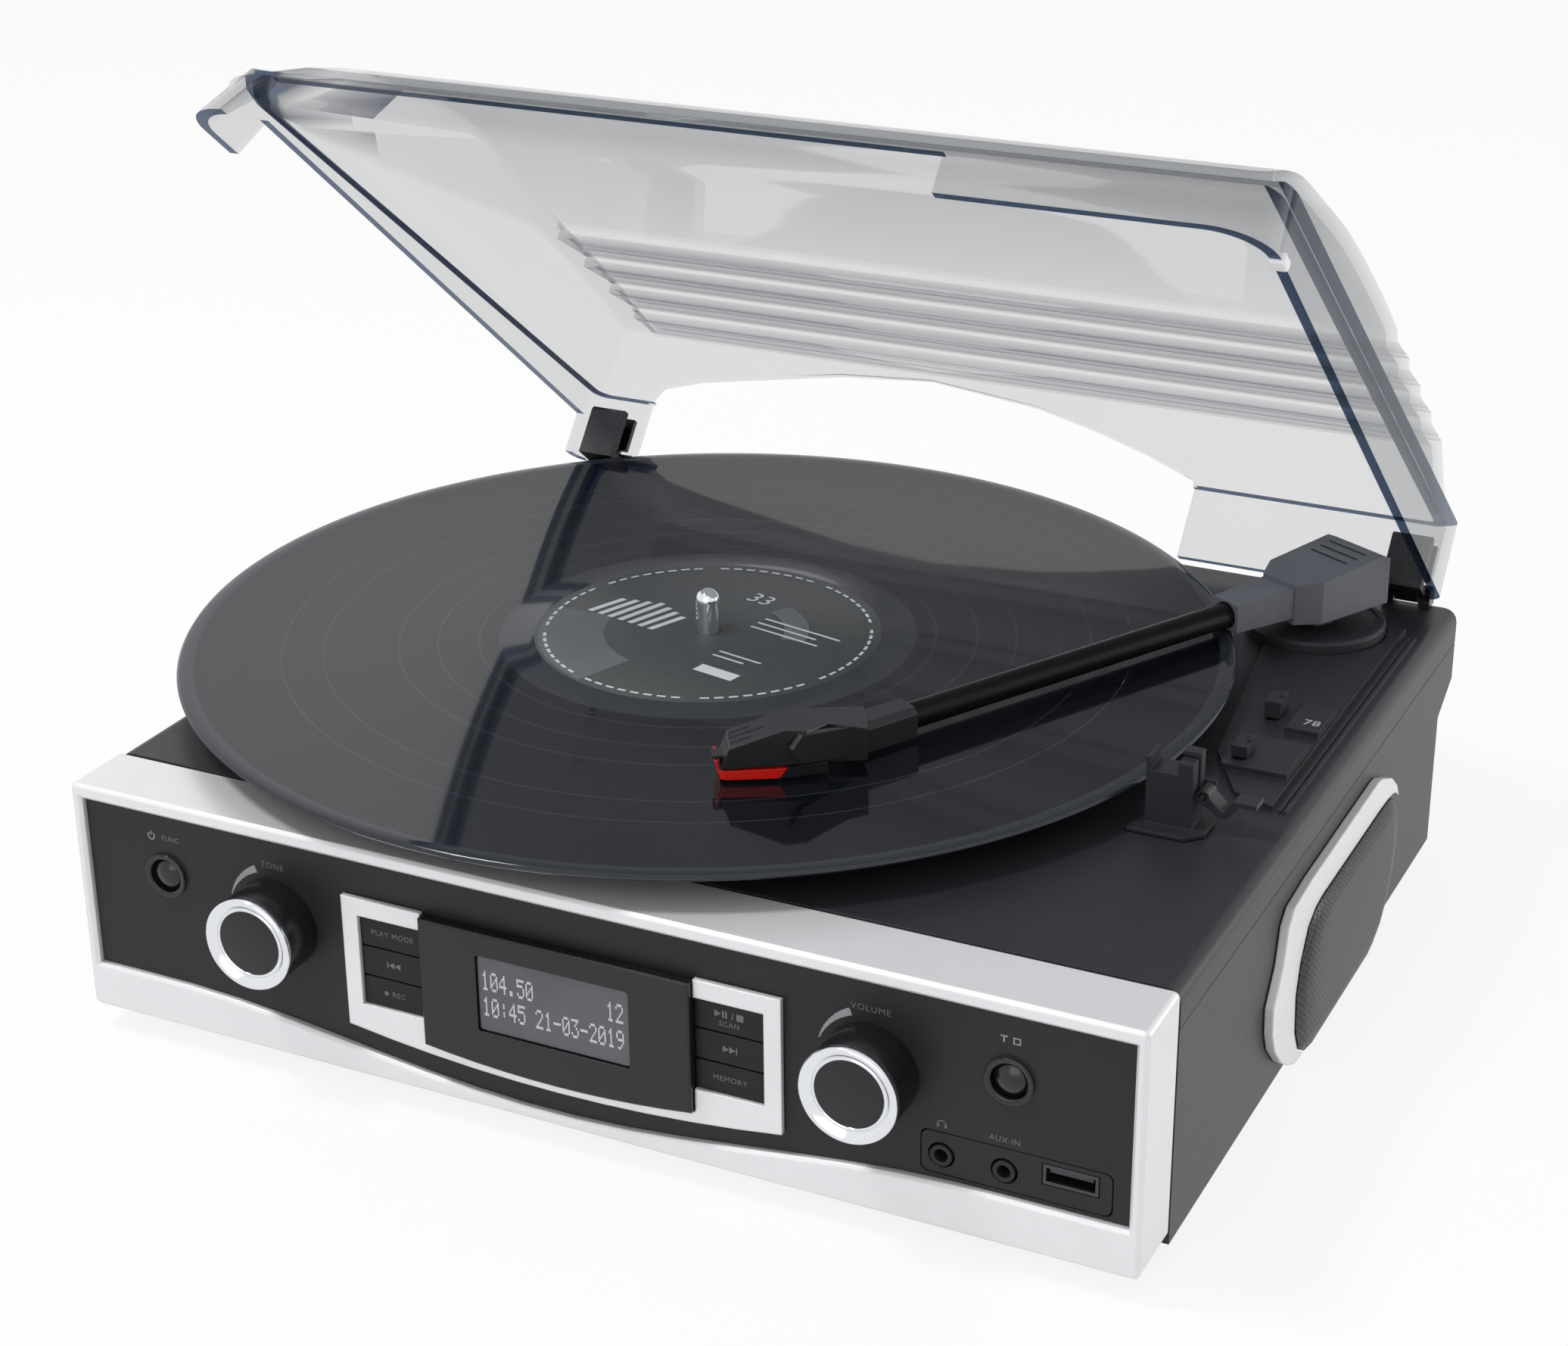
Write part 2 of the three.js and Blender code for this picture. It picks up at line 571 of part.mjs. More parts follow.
// A rectangle round the group's middle whose lower edge bows down towards the middle
function bowedRect(width, height, bow, x, z) {
  const [w, h] = [width / 2, height / 2];
  const shape = new THREE.Shape();
  shape.moveTo(x - w, z - h);
  shape.quadraticCurveTo(x, z - h - 2 * bow, x + w, z - h);
  shape.lineTo(x + w, z + h);
  shape.lineTo(x - w, z + h);
  return shape;
}

// Silver bracket: two side bars, a bowed lower bar, and two short top bars that end at the display
function makeBracket() {
  const z = frontZ + group.z;
  const [w, h] = [bracketWidth / 2, bracketHeight / 2];
  const y1 = panelY - seat;
  const y0 = y1 - bracket.thick;
  const outer = prism(
    'y', bowedRect(bracketWidth, bracketHeight, bracket.bow, group.x, z), y0, y1, { segments: 10 },
  );
  const hollow = block(group.x - w + bracket.side, group.x + w - bracket.side, y0 - overrun, y1 + overrun,
    z - h + bracket.bottom, z + h - bracket.top);
  const gap = bezel.width / 2 + seat;
  const middle = prism('y', bezelShape(seat), y0 - overrun, y1 + overrun, { segments: 10 });
  const above = block(group.x - gap, group.x + gap, y0 - overrun, y1 + overrun, z, z + h + overrun);
  return cut(outer, hollow, middle, above);
}

function bezelShape(clearance) {
  const width = bezel.width + 2 * clearance;
  return bowedRect(width, bezel.height + 2 * clearance, bezel.bow, group.x, frontZ + group.z);
}

// Black display surround with a sunk window
function makeBezel() {
  const y1 = panelY - seat;
  const y0 = y1 - bezel.thick;
  const body = prism('y', bezelShape(0), y0, y1, { segments: 10, bevel: bezel.bevel, bevelSegments: 1 });
  const window_ = roundedRect(
    screen.width + 2 * seat, screen.height + 2 * seat, screen.corner, group.x, screenZ(),
  );
  const hole = roundedRect(
    screen.width - 2 * bezel.rim, screen.height - 2 * bezel.rim, screen.corner, group.x, screenZ(),
  );
  return cut(
    body, prism('y', window_, y0 - overrun, y0 + screen.recess + screen.thick + seat),
    prism('y', hole, y0 - overrun, y1 + overrun),
  );
}

function makeScreen() {
  const y0 = panelY - seat - bezel.thick + screen.recess;
  return prism(
    'y', roundedRect(screen.width, screen.height, screen.corner, group.x, screenZ()), y0,
    y0 + screen.thick,
  );
}

// One rectangular key with its stem, which ends just short of the board's switch
function makeKey(x, z) {
  const y0 = panelY - key.proud;
  const cap = prism(
    'y', roundedRect(key.width, key.height, key.corner, x, z), y0, y0 + key.thick, { segments: 1 },
  );
  return join(cap, rod('y', key.stem, y0 + key.thick / 2, boardY - key.travel - seat, x, z, 8));
}

function makeRoundKey(x) {
  const z = frontZ + roundKey.z;
  const profile = [
    ...capShares.map(([out, back]) => [roundKey.capRadius * out, roundKey.dome * back - roundKey.proud]),
    [roundKey.capRadius, roundKey.thick],
    [0, roundKey.thick],
  ];
  const geometry = new THREE.LatheGeometry(profile.map(([r, d]) => new THREE.Vector2(r, d)), 18);
  geometry.translate(x, panelY, z);
  return join(
    solid(geometry),
    rod('y', roundKey.stem, panelY + roundKey.thick / 2, boardY - roundKey.travel - seat, x, z, 8),
  );
}

// Black knob with a sunk front that the chrome ring surrounds, and its shaft
function makeKnob(x) {
  const back = panelY - knob.clear;
  const front = back - knob.length;
  const z = frontZ + knob.z;
  let body = rod('y', knob.radius, front, back, x, z, 28);
  body = cut(body, rod('y', knob.hollowRadius, front - overrun, front + knob.hollow, x, z, 24));
  return join(body, rod('y', knob.shaft, back - overrun, boardY - seat, x, z, 12));
}

function makeRing(x) {
  const front = panelY - knob.clear - knob.length - seat;
  const y0 = front - ring.thick;
  const profile = [
    [ring.inner, y0 + ring.bevel], [ring.inner + ring.bevel, y0], [ring.outer - ring.bevel, y0],
    [ring.outer, y0 + ring.bevel], [ring.outer, front], [ring.inner, front],
  ];
  const geometry = new THREE.LatheGeometry(
    [...profile, profile[0]].map(([r, y]) => new THREE.Vector2(r, y)), 28,
  );
  geometry.translate(x, 0, frontZ + knob.z);
  return solid(geometry);
}

// Circuit board behind the panel, with a round control body under each knob
function makeControlBoard() {
  const z = frontZ + board.z;
  const back = boardY + board.thick;
  let body = block(
    group.x - board.width / 2, group.x + board.width / 2, boardY, back, z - board.height / 2,
    z + board.height / 2,
  );
  for (const x of [knob.toneX, knob.volumeX]) {
    const zk = frontZ + knob.z;
    body = join(
      body,
      block(
        x - board.potWidth / 2, x + board.potWidth / 2, back - board.thick / 2, back + board.potDepth,
        zk - board.potWidth / 2, zk + board.potWidth / 2,
      ),
    );
  }
  return body;
}

// Socket strip, its two round sockets and the slot for a memory stick
function makeJackPlate() {
  const z = frontZ + jack.plateZ;
  let body = prism(
    'y', roundedRect(jack.plateWidth, jack.plateHeight, jack.plateCorner, jack.plateX, z), panelY,
    panelY + jack.plateThick,
  );
  for (const x of [socket.phonesX, socket.auxX]) {
    body = cut(
      body,
      rod(
        'y', socket.radius + 2 * seat, panelY - overrun, panelY + jack.plateThick + overrun, x,
        frontZ + socket.z, 14,
      ),
    );
  }
  return cut(
    body,
    block(
      usb.x - usb.width / 2 - seat, usb.x + usb.width / 2 + seat, panelY - overrun,
      panelY + jack.plateThick + overrun, frontZ + usb.z - usb.height / 2 - seat,
      frontZ + usb.z + usb.height / 2 + seat,
    ),
  );
}

function makeSocket(x) {
  const y0 = panelY - socket.proud;
  const z = frontZ + socket.z;
  const body = rod('y', socket.radius, y0, boardY - seat, x, z, 16);
  return cut(body, rod('y', socket.bore, y0 - overrun, boardY - seat - wall, x, z, 12));
}

function makeUsb() {
  const z = frontZ + usb.z;
  const [w, h] = [usb.width / 2, usb.height / 2];
  const y1 = boardY - seat;
  const body = block(usb.x - w, usb.x + w, panelY, y1, z - h, z + h);
  const mouth = block(
    usb.x - w + usb.rim, usb.x + w - usb.rim, panelY - overrun, y1 - usb.rim, z - h + usb.rim,
    z + h - usb.rim,
  );
  const tongue = block(
    usb.x - usb.barWidth / 2, usb.x + usb.barWidth / 2, panelY + usb.rim, y1 - usb.rim / 2,
    z + h - usb.rim - usb.bar, z + h - usb.rim / 2,
  );
  return join(cut(body, mouth), tongue);
}

// Speaker pieces of one side, side being 1 on the right
const speakerPoint = ([a, b]) => [speaker.y + a * speaker.width, frontZ + speaker.z + b * speaker.height];

function makeTrim(side) {
  const shape = outline([...trimOuterShares, ...trimInnerShares].map(speakerPoint));
  const face = halfWidth + seat;
  const body = side > 0
    ? prism('x', shape, face, face + speaker.trimProud)
    : prism('x', shape, -face - speaker.trimProud, -face);
  return body;
}

// A bulged panel: the same outline, drawn in as it stands out further
function makeGrille(side) {
  const points = grilleShares.map(speakerPoint);
  const middle = [
    speaker.y + speaker.width * grilleMiddleShare, frontZ + speaker.z - speaker.height * grilleMiddleShare,
  ];
  const places = [];
  const base = halfWidth + seat;
  for (const [out, size] of grilleLayerShares) {
    for (const [y, z] of points) {
      places.push(
        side * (base + out * speaker.grilleBulge), middle[0] + (y - middle[0]) * size,
        Math.max(trayZ, middle[1] + (z - middle[1]) * size),
      );
    }
  }
  const count = points.length;
  const faces = [];
  for (let layer = 0; layer < grilleLayerShares.length - 1; layer += 1) {
    for (let i = 0; i < count; i += 1) {
      const next = (i + 1) % count;
      const [a, b, c, d] = [
        layer * count + i, layer * count + next, (layer + 1) * count + next, (layer + 1) * count + i,
      ];
      faces.push([a, b, c], [a, c, d]);
    }
  }
  const top = (grilleLayerShares.length - 1) * count;
  for (let i = 1; i < count - 1; i += 1) faces.push([0, i + 1, i], [top, top + i, top + i + 1]);
  const area = points.reduce((sum, [y, z], i) => {
    const [u, v] = points[(i + 1) % count];
    return sum + y * v - u * z;
  }, 0);
  const turn = area * side > 0;
  const geometry = new THREE.BufferGeometry();
  geometry.setAttribute('position', new THREE.BufferAttribute(new Float32Array(places), 3));
  geometry.setIndex(faces.flatMap(([a, b, c]) => (turn ? [a, b, c] : [a, c, b])));
  return solid(geometry);
}

// Loudspeaker behind the side wall: rim, cone basket and magnet, facing outwards
function makeDriver(side) {
  const profile = [
    [0, speaker.coneDepth], [speaker.coilRadius, speaker.coneDepth],
    [speaker.driverRadius - speaker.driverRim, 0], [speaker.driverRadius, 0],
    [speaker.driverRadius, speaker.driverRim],
    [speaker.magnetRadius, speaker.driverDepth - speaker.magnetDepth],
    [speaker.magnetRadius, speaker.driverDepth], [0, speaker.driverDepth],
  ];
  const geometry = new THREE.LatheGeometry(profile.map(([r, d]) => new THREE.Vector2(r, d)), 20);
  geometry.rotateZ(side > 0 ? Math.PI / 2 : -Math.PI / 2);
  geometry.translate(side * (halfWidth - wall - seat), speaker.y, frontZ + speaker.z);
  return solid(geometry);
}

// Upper shell: the deck plate with a rolled edge and the platter well, the raised platform and the switch
// pads
function makeDeck() {
  const z0 = seamZ + seat / 2;
  const y0 = stripY + seat;
  const r = deck.edgeFillet;
  const edge = [[-halfWidth, z0], [halfWidth, z0]];
  for (let i = 0; i <= 4; i += 1) edge.push(
    [halfWidth - r + r * Math.cos((i * Math.PI) / 8), deckZ - r + r * Math.sin((i * Math.PI) / 8)]
  );
  for (let i = 4; i >= 0; i -= 1) edge.push(
    [-halfWidth + r - r * Math.cos((i * Math.PI) / 8), deckZ - r + r * Math.sin((i * Math.PI) / 8)]
  );
  let body = prism('y', outline(edge), y0, backY);
  body = cut(
    body,
    block(
      -halfWidth + deck.skirt, halfWidth - deck.skirt, y0 + deck.skirt, backY - deck.skirt, z0 - overrun,
      deckZ - deck.plate,
    ),
  );
  body = join(
    body,
    rod(
      'z', wellRadius + deck.wellRim, wellZ - deck.plate, deckZ - deck.plate / 2, spindleX, spindleY, 56,
    ),
  );
  body = cut(body, rod('z', wellRadius, wellZ, deckZ + overrun, spindleX, spindleY, 56));
  const p = platformPlaces;
  const raised = [
    [p.leftX, p.leftY], [p.frontX, p.frontY], [p.rightX, p.frontRightY], [p.rightX, p.backY],
    [p.backX, p.backY], [p.backX, p.backLeftY],
  ];
  body = join(body, prism('z', outline(raised), deckZ - deck.plate / 2, deckZ + platform.rise));
  for (const pad of [autostop, speed]) {
    body = join(
      body, block(pad.x, pad.endX, pad.y, pad.endY, deckZ - deck.plate / 2, deckZ + platform.padRise),
    );
  }
  for (const x of [p.rightX + ridge.gap, p.rightX + 2 * ridge.gap]) {
    body = join(
      body,
      block(x, x + ridge.width, ridge.startY, ridge.endY, deckZ - deck.plate / 2, deckZ + ridge.rise),
    );
  }
  for (const pad of [autostop, speed]) {
    body = cut(
      body,
      block(
        pad.knobX - slider.stem / 2 - seat, pad.knobX + slider.stem / 2 + seat, pad.knobY - slotReach(),
        pad.knobY + slotReach(), deckZ - deck.plate - overrun, deckZ + platform.padRise + overrun,
      ),
    );
  }
  const m = motorPlace();
  body = cut(body, rod('z', motor.boss, wellZ - deck.plate - overrun, wellZ + overrun, m[0], m[1], 16));
  body = cut(
    body,
    rod(
      'z', bearing.radius + 2 * seat, wellZ - deck.plate - overrun, wellZ + overrun, spindleX, spindleY,
      20,
    ),
  );
  return cut(
    body,
    rod(
      'z', yoke.radius + 2 * seat, deckZ - deck.plate - overrun, deckZ + platform.rise + overrun,
      arm.pivotX, arm.pivotY, 20,
    ),
    rod('z', armBase.radius + 2 * seat, deckZ, deckZ + platform.rise + overrun, armBase.x, armBase.y, 36),
  );
}

const slotReach = () => slider.slotY / 2 + slider.travel;

function motorPlace() {
  return [
    spindleX + motor.distance * Math.cos(motor.angle * degree),
    spindleY + motor.distance * Math.sin(motor.angle * degree),
  ];
}

// Turning pieces of the turntable
function makeBearing() {
  const top = wellZ + seat + bearing.flange;
  const low = top - bearing.flange - bearing.length;
  const profile = [
    [spindle.radius + seat, low], [bearing.radius, low], [bearing.radius, wellZ + seat],
    [bearing.flangeRadius, wellZ + seat], [bearing.flangeRadius, top], [spindle.radius + seat, top],
  ];
  return turned([...profile, profile[0]], 20, spindleX, spindleY);
}

function stack() {
  const recordTop = deckZ + record.height;
  const recordLow = recordTop - record.thick;
  const matTop = recordLow - seat;
  const matLow = matTop - mat.thick;
  const plateTop = matLow - seat;
  return { recordTop, recordLow, matTop, matLow, plateTop, plateLow: plateTop - platter.plate };
}

function makePlatter() {
  const s = stack();
  const bore = spindle.radius + seat;
  const rimLow = s.plateTop - platter.rimDrop;
  const drumLow = s.plateTop - platter.drumDrop;
  const profile = [
    [bore, s.plateTop], [bore, drumLow], [platter.hubRadius, drumLow], [platter.hubRadius, s.plateLow],
    [platter.drumRadius - platter.drumWall, s.plateLow], [platter.drumRadius - platter.drumWall, drumLow],
    [platter.drumRadius, drumLow], [platter.drumRadius, s.plateLow],
    [platter.radius - platter.rim, s.plateLow], [platter.radius - platter.rim, rimLow],
    [platter.radius, rimLow], [platter.radius, s.plateTop],
  ];
  return turned([...profile, profile[0]], platter.sides, spindleX, spindleY);
}

function makeMat() {
  const s = stack();
  const bore = spindle.radius + seat;
  const profile = [[bore, s.matLow], [mat.radius, s.matLow], [mat.radius, s.matTop], [bore, s.matTop]];
  return turned([...profile, profile[0]], platter.sides, spindleX, spindleY);
}

function makeRecord() {
  const s = stack();
  const profile = [
    [record.hole, s.recordLow], [record.radius - record.edge, s.recordLow],
    [record.radius, s.recordLow + record.edge], [record.radius, s.recordTop - record.edge],
    [record.radius - record.edge, s.recordTop], [record.hole, s.recordTop],
  ];
  return turned([...profile, profile[0]], 72, spindleX, spindleY);
}

function makeSpindle() {
  const top = deckZ + record.height + spindle.above;
  const low = deckZ + record.height - spindle.below;
  const r = spindle.radius;
  const profile = [[0, low], [r, low], [r, top - spindle.dome]];
  for (let i = 1; i <= 4; i += 1) profile.push(
    [r * Math.cos((i * Math.PI) / 8), top - spindle.dome + spindle.dome * Math.sin((i * Math.PI) / 8)]
  );
  profile[profile.length - 1][0] = 0;
  return turned(profile, 20, spindleX, spindleY);
}

function makeMotor() {
  const [x, y] = motorPlace();
  const top = wellZ - deck.plate - seat;
  return turned(
    [
      [0, top - motor.length], [motor.radius, top - motor.length], [motor.radius, top],
      [motor.boss - seat, top], [motor.boss - seat, wellZ], [motor.shaft, wellZ],
      [motor.shaft, wellZ + motor.pulleyHeight / 2], [0, wellZ + motor.pulleyHeight / 2],
    ],
    20, x, y,
  );
}

function makePulley() {
  const [x, y] = motorPlace();
  const low = wellZ + 2 * seat;
  const top = low + motor.pulleyHeight;
  const bore = motor.shaft + seat;
  const profile = [
    [0, wellZ + motor.pulleyHeight / 2 + seat], [bore, wellZ + motor.pulleyHeight / 2 + seat],
    [bore, low], [motor.pulleyFlange, low], [motor.pulleyFlange, low + motor.flange],
    [motor.pulleyRadius, low + motor.flange], [motor.pulleyRadius, top - motor.flange],
    [motor.pulleyFlange, top - motor.flange], [motor.pulleyFlange, top], [0, top],
  ];
  return turned(profile, 16, x, y);
}

// Flat belt round the platter's drum and the pulley
function makeBelt() {
  const loop = (extra) => {
    const [big, small] = [platter.drumRadius + extra, motor.pulleyRadius + extra];
    const half = Math.acos((big - small) / motor.distance);
    const points = [];
    const arc = (x, radius, from, to, steps) => {
      for (let i = 0; i <= steps; i += 1) {
        const turn = from + ((to - from) * i) / steps;
        points.push(new THREE.Vector2(x + radius * Math.cos(turn), radius * Math.sin(turn)));
      }
    };
    arc(0, big, half, 2 * Math.PI - half, 36);
    arc(motor.distance, small, -half, half, 8);
    return points;
  };
  const shape = new THREE.Shape(loop(belt.clear + belt.thick));
  shape.holes.push(new THREE.Path(loop(belt.clear)));
  const geometry = new THREE.ExtrudeGeometry(shape, { depth: belt.width, bevelEnabled: false });
  geometry.rotateZ(motor.angle * degree);
  geometry.translate(spindleX, spindleY, wellZ + 2 * seat + (motor.pulleyHeight - belt.width) / 2);
  return solid(geometry);
}

// Arm pieces, drawn with the arm along -Y from its pivot, X to its right and Z from the deck's surface.
// A length along the arm is turned into Y by along().
const along = (points) => outline(points.map(([s, z]) => [-s, z]));
const plan = (points) => outline(points.map(([t, s]) => [t, -s]));

function makeArmBase() {
  const r = armBase.radius;
  const h = armBase.height;
  const g = armBase.groove;
  const disc = turned(
    [
      [0, seat], [r, seat], [r, h - armBase.bevel], [r - armBase.bevel, h], [r - armBase.grooveInset, h],
      [r - armBase.grooveInset, h - g], [0, h - g],
    ],
    36,
  );
  return cut(disc, rod('z', yoke.radius + seat, 0, h, arm.pivotX - armBase.x, arm.pivotY - armBase.y, 24));
}

function makeYoke() {
  const hubSide = prism(
    'x',
    along(
      [
        [-yoke.hubFoot, yoke.hubLow], [yoke.hubFoot, yoke.hubLow], [yoke.hubFront, yoke.hubHigh],
        [0, yoke.hubHigh], [-yoke.hubRear, yoke.hubRearHigh],
      ],
    ),
    -yoke.hubHalf, yoke.hubHalf,
  );
  const hubFront = prism(
    'y',
    outline(
      [
        [-yoke.hubFoot, yoke.hubLow], [yoke.hubFoot, yoke.hubLow], [yoke.hubHalf, yoke.hubRearHigh],
        [yoke.hubHalf, yoke.hubHigh], [-yoke.hubHalf, yoke.hubHigh], [-yoke.hubHalf, yoke.hubRearHigh],
      ],
    ),
    -yoke.hubFront, yoke.hubFront,
  );
  const post = rod('z', yoke.radius, -yoke.below, yoke.top, 0, 0, 24);
  const pin = rod(
    'x', yoke.pin, -head.half + head.wall / 2, head.half - head.wall / 2, 0, arm.tiltHeight, 12,
  );
  return join(common(hubSide, hubFront), post, pin);
}

function makeHead() {
  const h = head;
  const c = h.chamfer;
  const planShape = plan(
    [
      [-h.half, -h.rear], [h.half, -h.rear], [h.half, h.front - c], [h.frontHalf, h.front],
      [-h.frontHalf, h.front], [-h.half, h.front - c],
    ],
  );
  const sideShape = along(
    [
      [-h.rear, h.low], [h.front, h.low], [h.front, h.frontTop], [h.front - c, h.midTop],
      [-h.rear + c / 2, h.rearTop], [-h.rear, h.rearEdge],
    ],
  );
  let body = common(
    prism('z', planShape, h.low, h.rearTop + overrun), prism('x', sideShape, -h.half, h.half),
  );
  const room = h.half - h.wall;
  body = cut(
    body, block(-room, room, -h.front + h.wall + c / 2, h.rear - h.wall, h.low - overrun, h.cavityTop),
  );
  const k = coupler;
  const planTaper = plan(
    [[-k.startHalf, k.start], [k.startHalf, k.start], [k.endHalf, k.end], [-k.endHalf, k.end]],
  );
  const sideTaper = along(
    [[k.start, k.startLow], [k.end, k.endLow], [k.end, k.endTop], [k.start, k.startTop]],
  );
  const arm_ = common(
    prism('z', planTaper, k.startLow, k.startTop), prism('x', sideTaper, -k.startHalf, k.startHalf),
  );
  const tubeBore = rod(
    'y', arm.tubeRadius + k.bore, -k.end - overrun, -arm.tubeStart + k.bore, 0, arm.tubeHeight,
    arm.tubeSides,
  );
  return cut(
    join(body, arm_), tubeBore,
    rod('x', yoke.pin + yoke.bore, -h.half + h.wall / 4, h.half - h.wall / 4, 0, arm.tiltHeight, 12),
  );
}

function makeTube() {
  return rod('y', arm.tubeRadius, -arm.tubeEnd, -arm.tubeStart, 0, arm.tubeHeight, arm.tubeSides);
}

// Puts a piece that is drawn along -Y from the bend in its place on the turned end of the arm
const turnedIn = (body) => body.rotate([0, 0, shell.angle]).translate([0, -shell.bend, 0]);

// Collar, neck, headshell and finger lift are one moulding
function makeShell() {
  const c = collar;
  const section = outline(
    [
      [-c.half, c.low], [c.half, c.low], [c.half, c.top - c.chamfer], [c.half - c.chamfer, c.top],
      [-c.half + c.chamfer, c.top], [-c.half, c.top - c.chamfer],
    ],
  );
  const sleeve = prism('y', section, -c.end - 2 * overrun, -c.start);
  const bore = rod(
    'y', arm.tubeRadius + coupler.bore, -arm.tubeEnd - seat, -c.start + overrun, 0, arm.tubeHeight,
    arm.tubeSides,
  );
  const s = shell;
  const side = along(
    [
      [s.rear, s.neckLow], [s.shoulder, s.neckLow], [s.shoulder, s.roof], [s.nose, s.noseLow],
      [s.front, s.frontTop], [s.knee, s.kneeTop], [s.kneeRear, s.kneeTop - overrun / 2],
      [s.rear, s.neckTop],
    ],
  );
  const above = plan(
    [
      [s.neckNear, s.rear], [s.neckNear, s.shoulder], [s.half, s.shoulder + s.half], [s.half, s.nose],
      [-s.half, s.nose], [-s.half, s.knee], [s.neckFar, s.rear],
    ],
  );
  const block_ = common(
    prism('x', side, s.neckFar - overrun, s.half + overrun),
    prism('z', above, c.low, s.kneeTop + overrun),
  );
  const lip = block(s.lipLeft, s.lipRight, -s.lipEnd, -s.front, s.lipTop - s.lipThick, s.lipTop);
  const lift = along(
    [
      [s.liftStart, s.neckLow + overrun], [s.liftBend, s.liftLow],
      [s.liftEnd, s.liftFrontTop - s.liftThick], [s.liftEnd, s.liftFrontTop], [s.liftBend, s.liftTop],
      [s.liftStart, s.liftRearTop],
    ],
  );
  return join(
    cut(sleeve, bore), turnedIn(join(block_, lip)), prism('x', lift, s.liftOut - s.liftThick, s.liftOut),
  );
}

// Cartridge body under the headshell, narrower at its rear
function makeCartridge() {
  const c = cartridge;
  const top = shell.roof - 3 * seat;
  const side = along([[c.rear, c.low], [c.frontLow, c.low], [c.frontTop, top - seat], [c.rear, top]]);
  const above = plan(
    [
      [-c.rearHalf, c.rear], [c.rearHalf, c.rear], [c.half, c.frontTop], [c.half, c.frontLow + overrun],
      [-c.half, c.frontLow + overrun], [-c.half, c.frontTop],
    ],
  );
  return turnedIn(
    common(
      prism('x', side, -c.half - overrun, c.half + overrun),
      prism('z', above, c.low - overrun, top + overrun),
    ),
  );
}

// Stylus holder with an upturned front lip and the stylus under it
function makeStylus() {
  const s = stylus;
  const top = shell.noseLow - seat;
  const side = along(
    [
      [s.rearLow, s.low], [s.front, s.low], [s.lipFront, s.lipTop], [s.lipFront - s.lipThick, s.lipTop],
      [s.front + seat, top - seat], [s.rearTop, top],
    ],
  );
  const above = plan(
    [
      [-s.half, s.rearTop], [s.half, s.rearTop], [s.half, s.front - s.corner],
      [s.half - s.corner, s.lipFront], [-s.half + s.corner, s.lipFront], [-s.half, s.front - s.corner],
    ],
  );
  const body = common(
    prism('x', side, -s.half - overrun, s.half + overrun),
    prism('z', above, s.low - overrun, s.lipTop + overrun),
  );
  const length = s.low - record.height - s.tipGap;
  const tip = new THREE.ConeGeometry(s.tipRadius, length, 8);
  tip.rotateX(-Math.PI / 2);
  tip.translate(0, -s.tip, s.low - length / 2);
  return turnedIn(
    join(body, solid(tip), rod('z', s.tipRadius, s.low - length / 4, s.low + seat, 0, -s.tip, 8)),
  );
}

// Arm rest: a chamfered foot plate and a post with a cradle between a low wall and a prong.
// Behind the post an ear holds the pin of the clip.
function makeRest() {
  const r = rest;
  const z = deckZ + seat;
  const c = r.plateChamfer;
  const foot_ = outline(
    [
      [r.plateLeft, r.plateFront], [r.plateRight - c, r.plateFront], [r.plateRight, r.plateFront + c],
      [r.plateRight, r.rear], [r.plateLeft, r.rear],
    ],
  );
  const post = block(r.left, r.right, r.front, r.rear, z, deckZ + r.low);
  const shaft = block(r.left, r.shaftRight, r.front, r.rear, deckZ + r.low - overrun, deckZ + r.floor);
  const wall_ = block(r.left, r.left + r.wall, r.front, r.rear, deckZ + r.low, deckZ + r.wallTop);
  const prong = block(
    r.prongLeft, r.right, r.front, r.prongRear, deckZ + r.low - overrun, deckZ + r.prongTop,
  );
  const ear = block(
    r.shaftRight, r.earRight, r.rear + seat, r.earRear, deckZ + r.low - overrun, deckZ + r.earTop,
  );
  const link = block(r.left + r.wall, r.right, r.rear - overrun, r.earRear, z, deckZ + r.low);
  const pin = rod('y', clip.pin, clip.leverFront, r.earRear - seat, clip.axisX, deckZ + clip.axisZ, 10);
  return join(prism('z', foot_, z, z + r.plateThick), post, shaft, wall_, prong, ear, link, pin);
}

// Hooked clip that holds the parked arm down, with a bent finger lever, turning on a pin along Y
function makeClip() {
  const c = clip;
  const t = c.thick;
  const [z, lowZ, padZ, top] = [deckZ + c.axisZ, deckZ + c.lowZ, deckZ + c.padZ, deckZ + c.top];
  const hook = outline(
    [
      [c.left, z], [c.right, z], [c.right, top], [c.hookLeft, top], [c.hookLeft, top - t],
      [c.left, top - t],
    ],
  );
  const lever = outline(
    [
      [c.axisX, z - c.hub], [c.lowX - t / 2, lowZ - t / 2], [c.lowX + t, lowZ - t / 3],
      [c.padX + t / 2, padZ - t], [c.padEnd, padZ - t], [c.padEnd, padZ], [c.padX - t / 2, padZ],
      [c.lowX + t / 3, lowZ + t], [c.lowX - t / 3, lowZ + t], [c.axisX + c.hub, z], [c.axisX, z + c.hub],
    ],
  );
  const hub = rod('y', c.hub, c.leverFront + seat, c.rear, c.axisX, z, 16);
  const arm_ = prism('y', lever, c.leverFront + seat, c.rear);
  const strip = prism('y', hook, c.front + seat, c.rear);
  return cut(join(strip, arm_, hub), rod('y', c.pin + seat, c.leverFront, c.rear + overrun, c.axisX, z, 10));
}

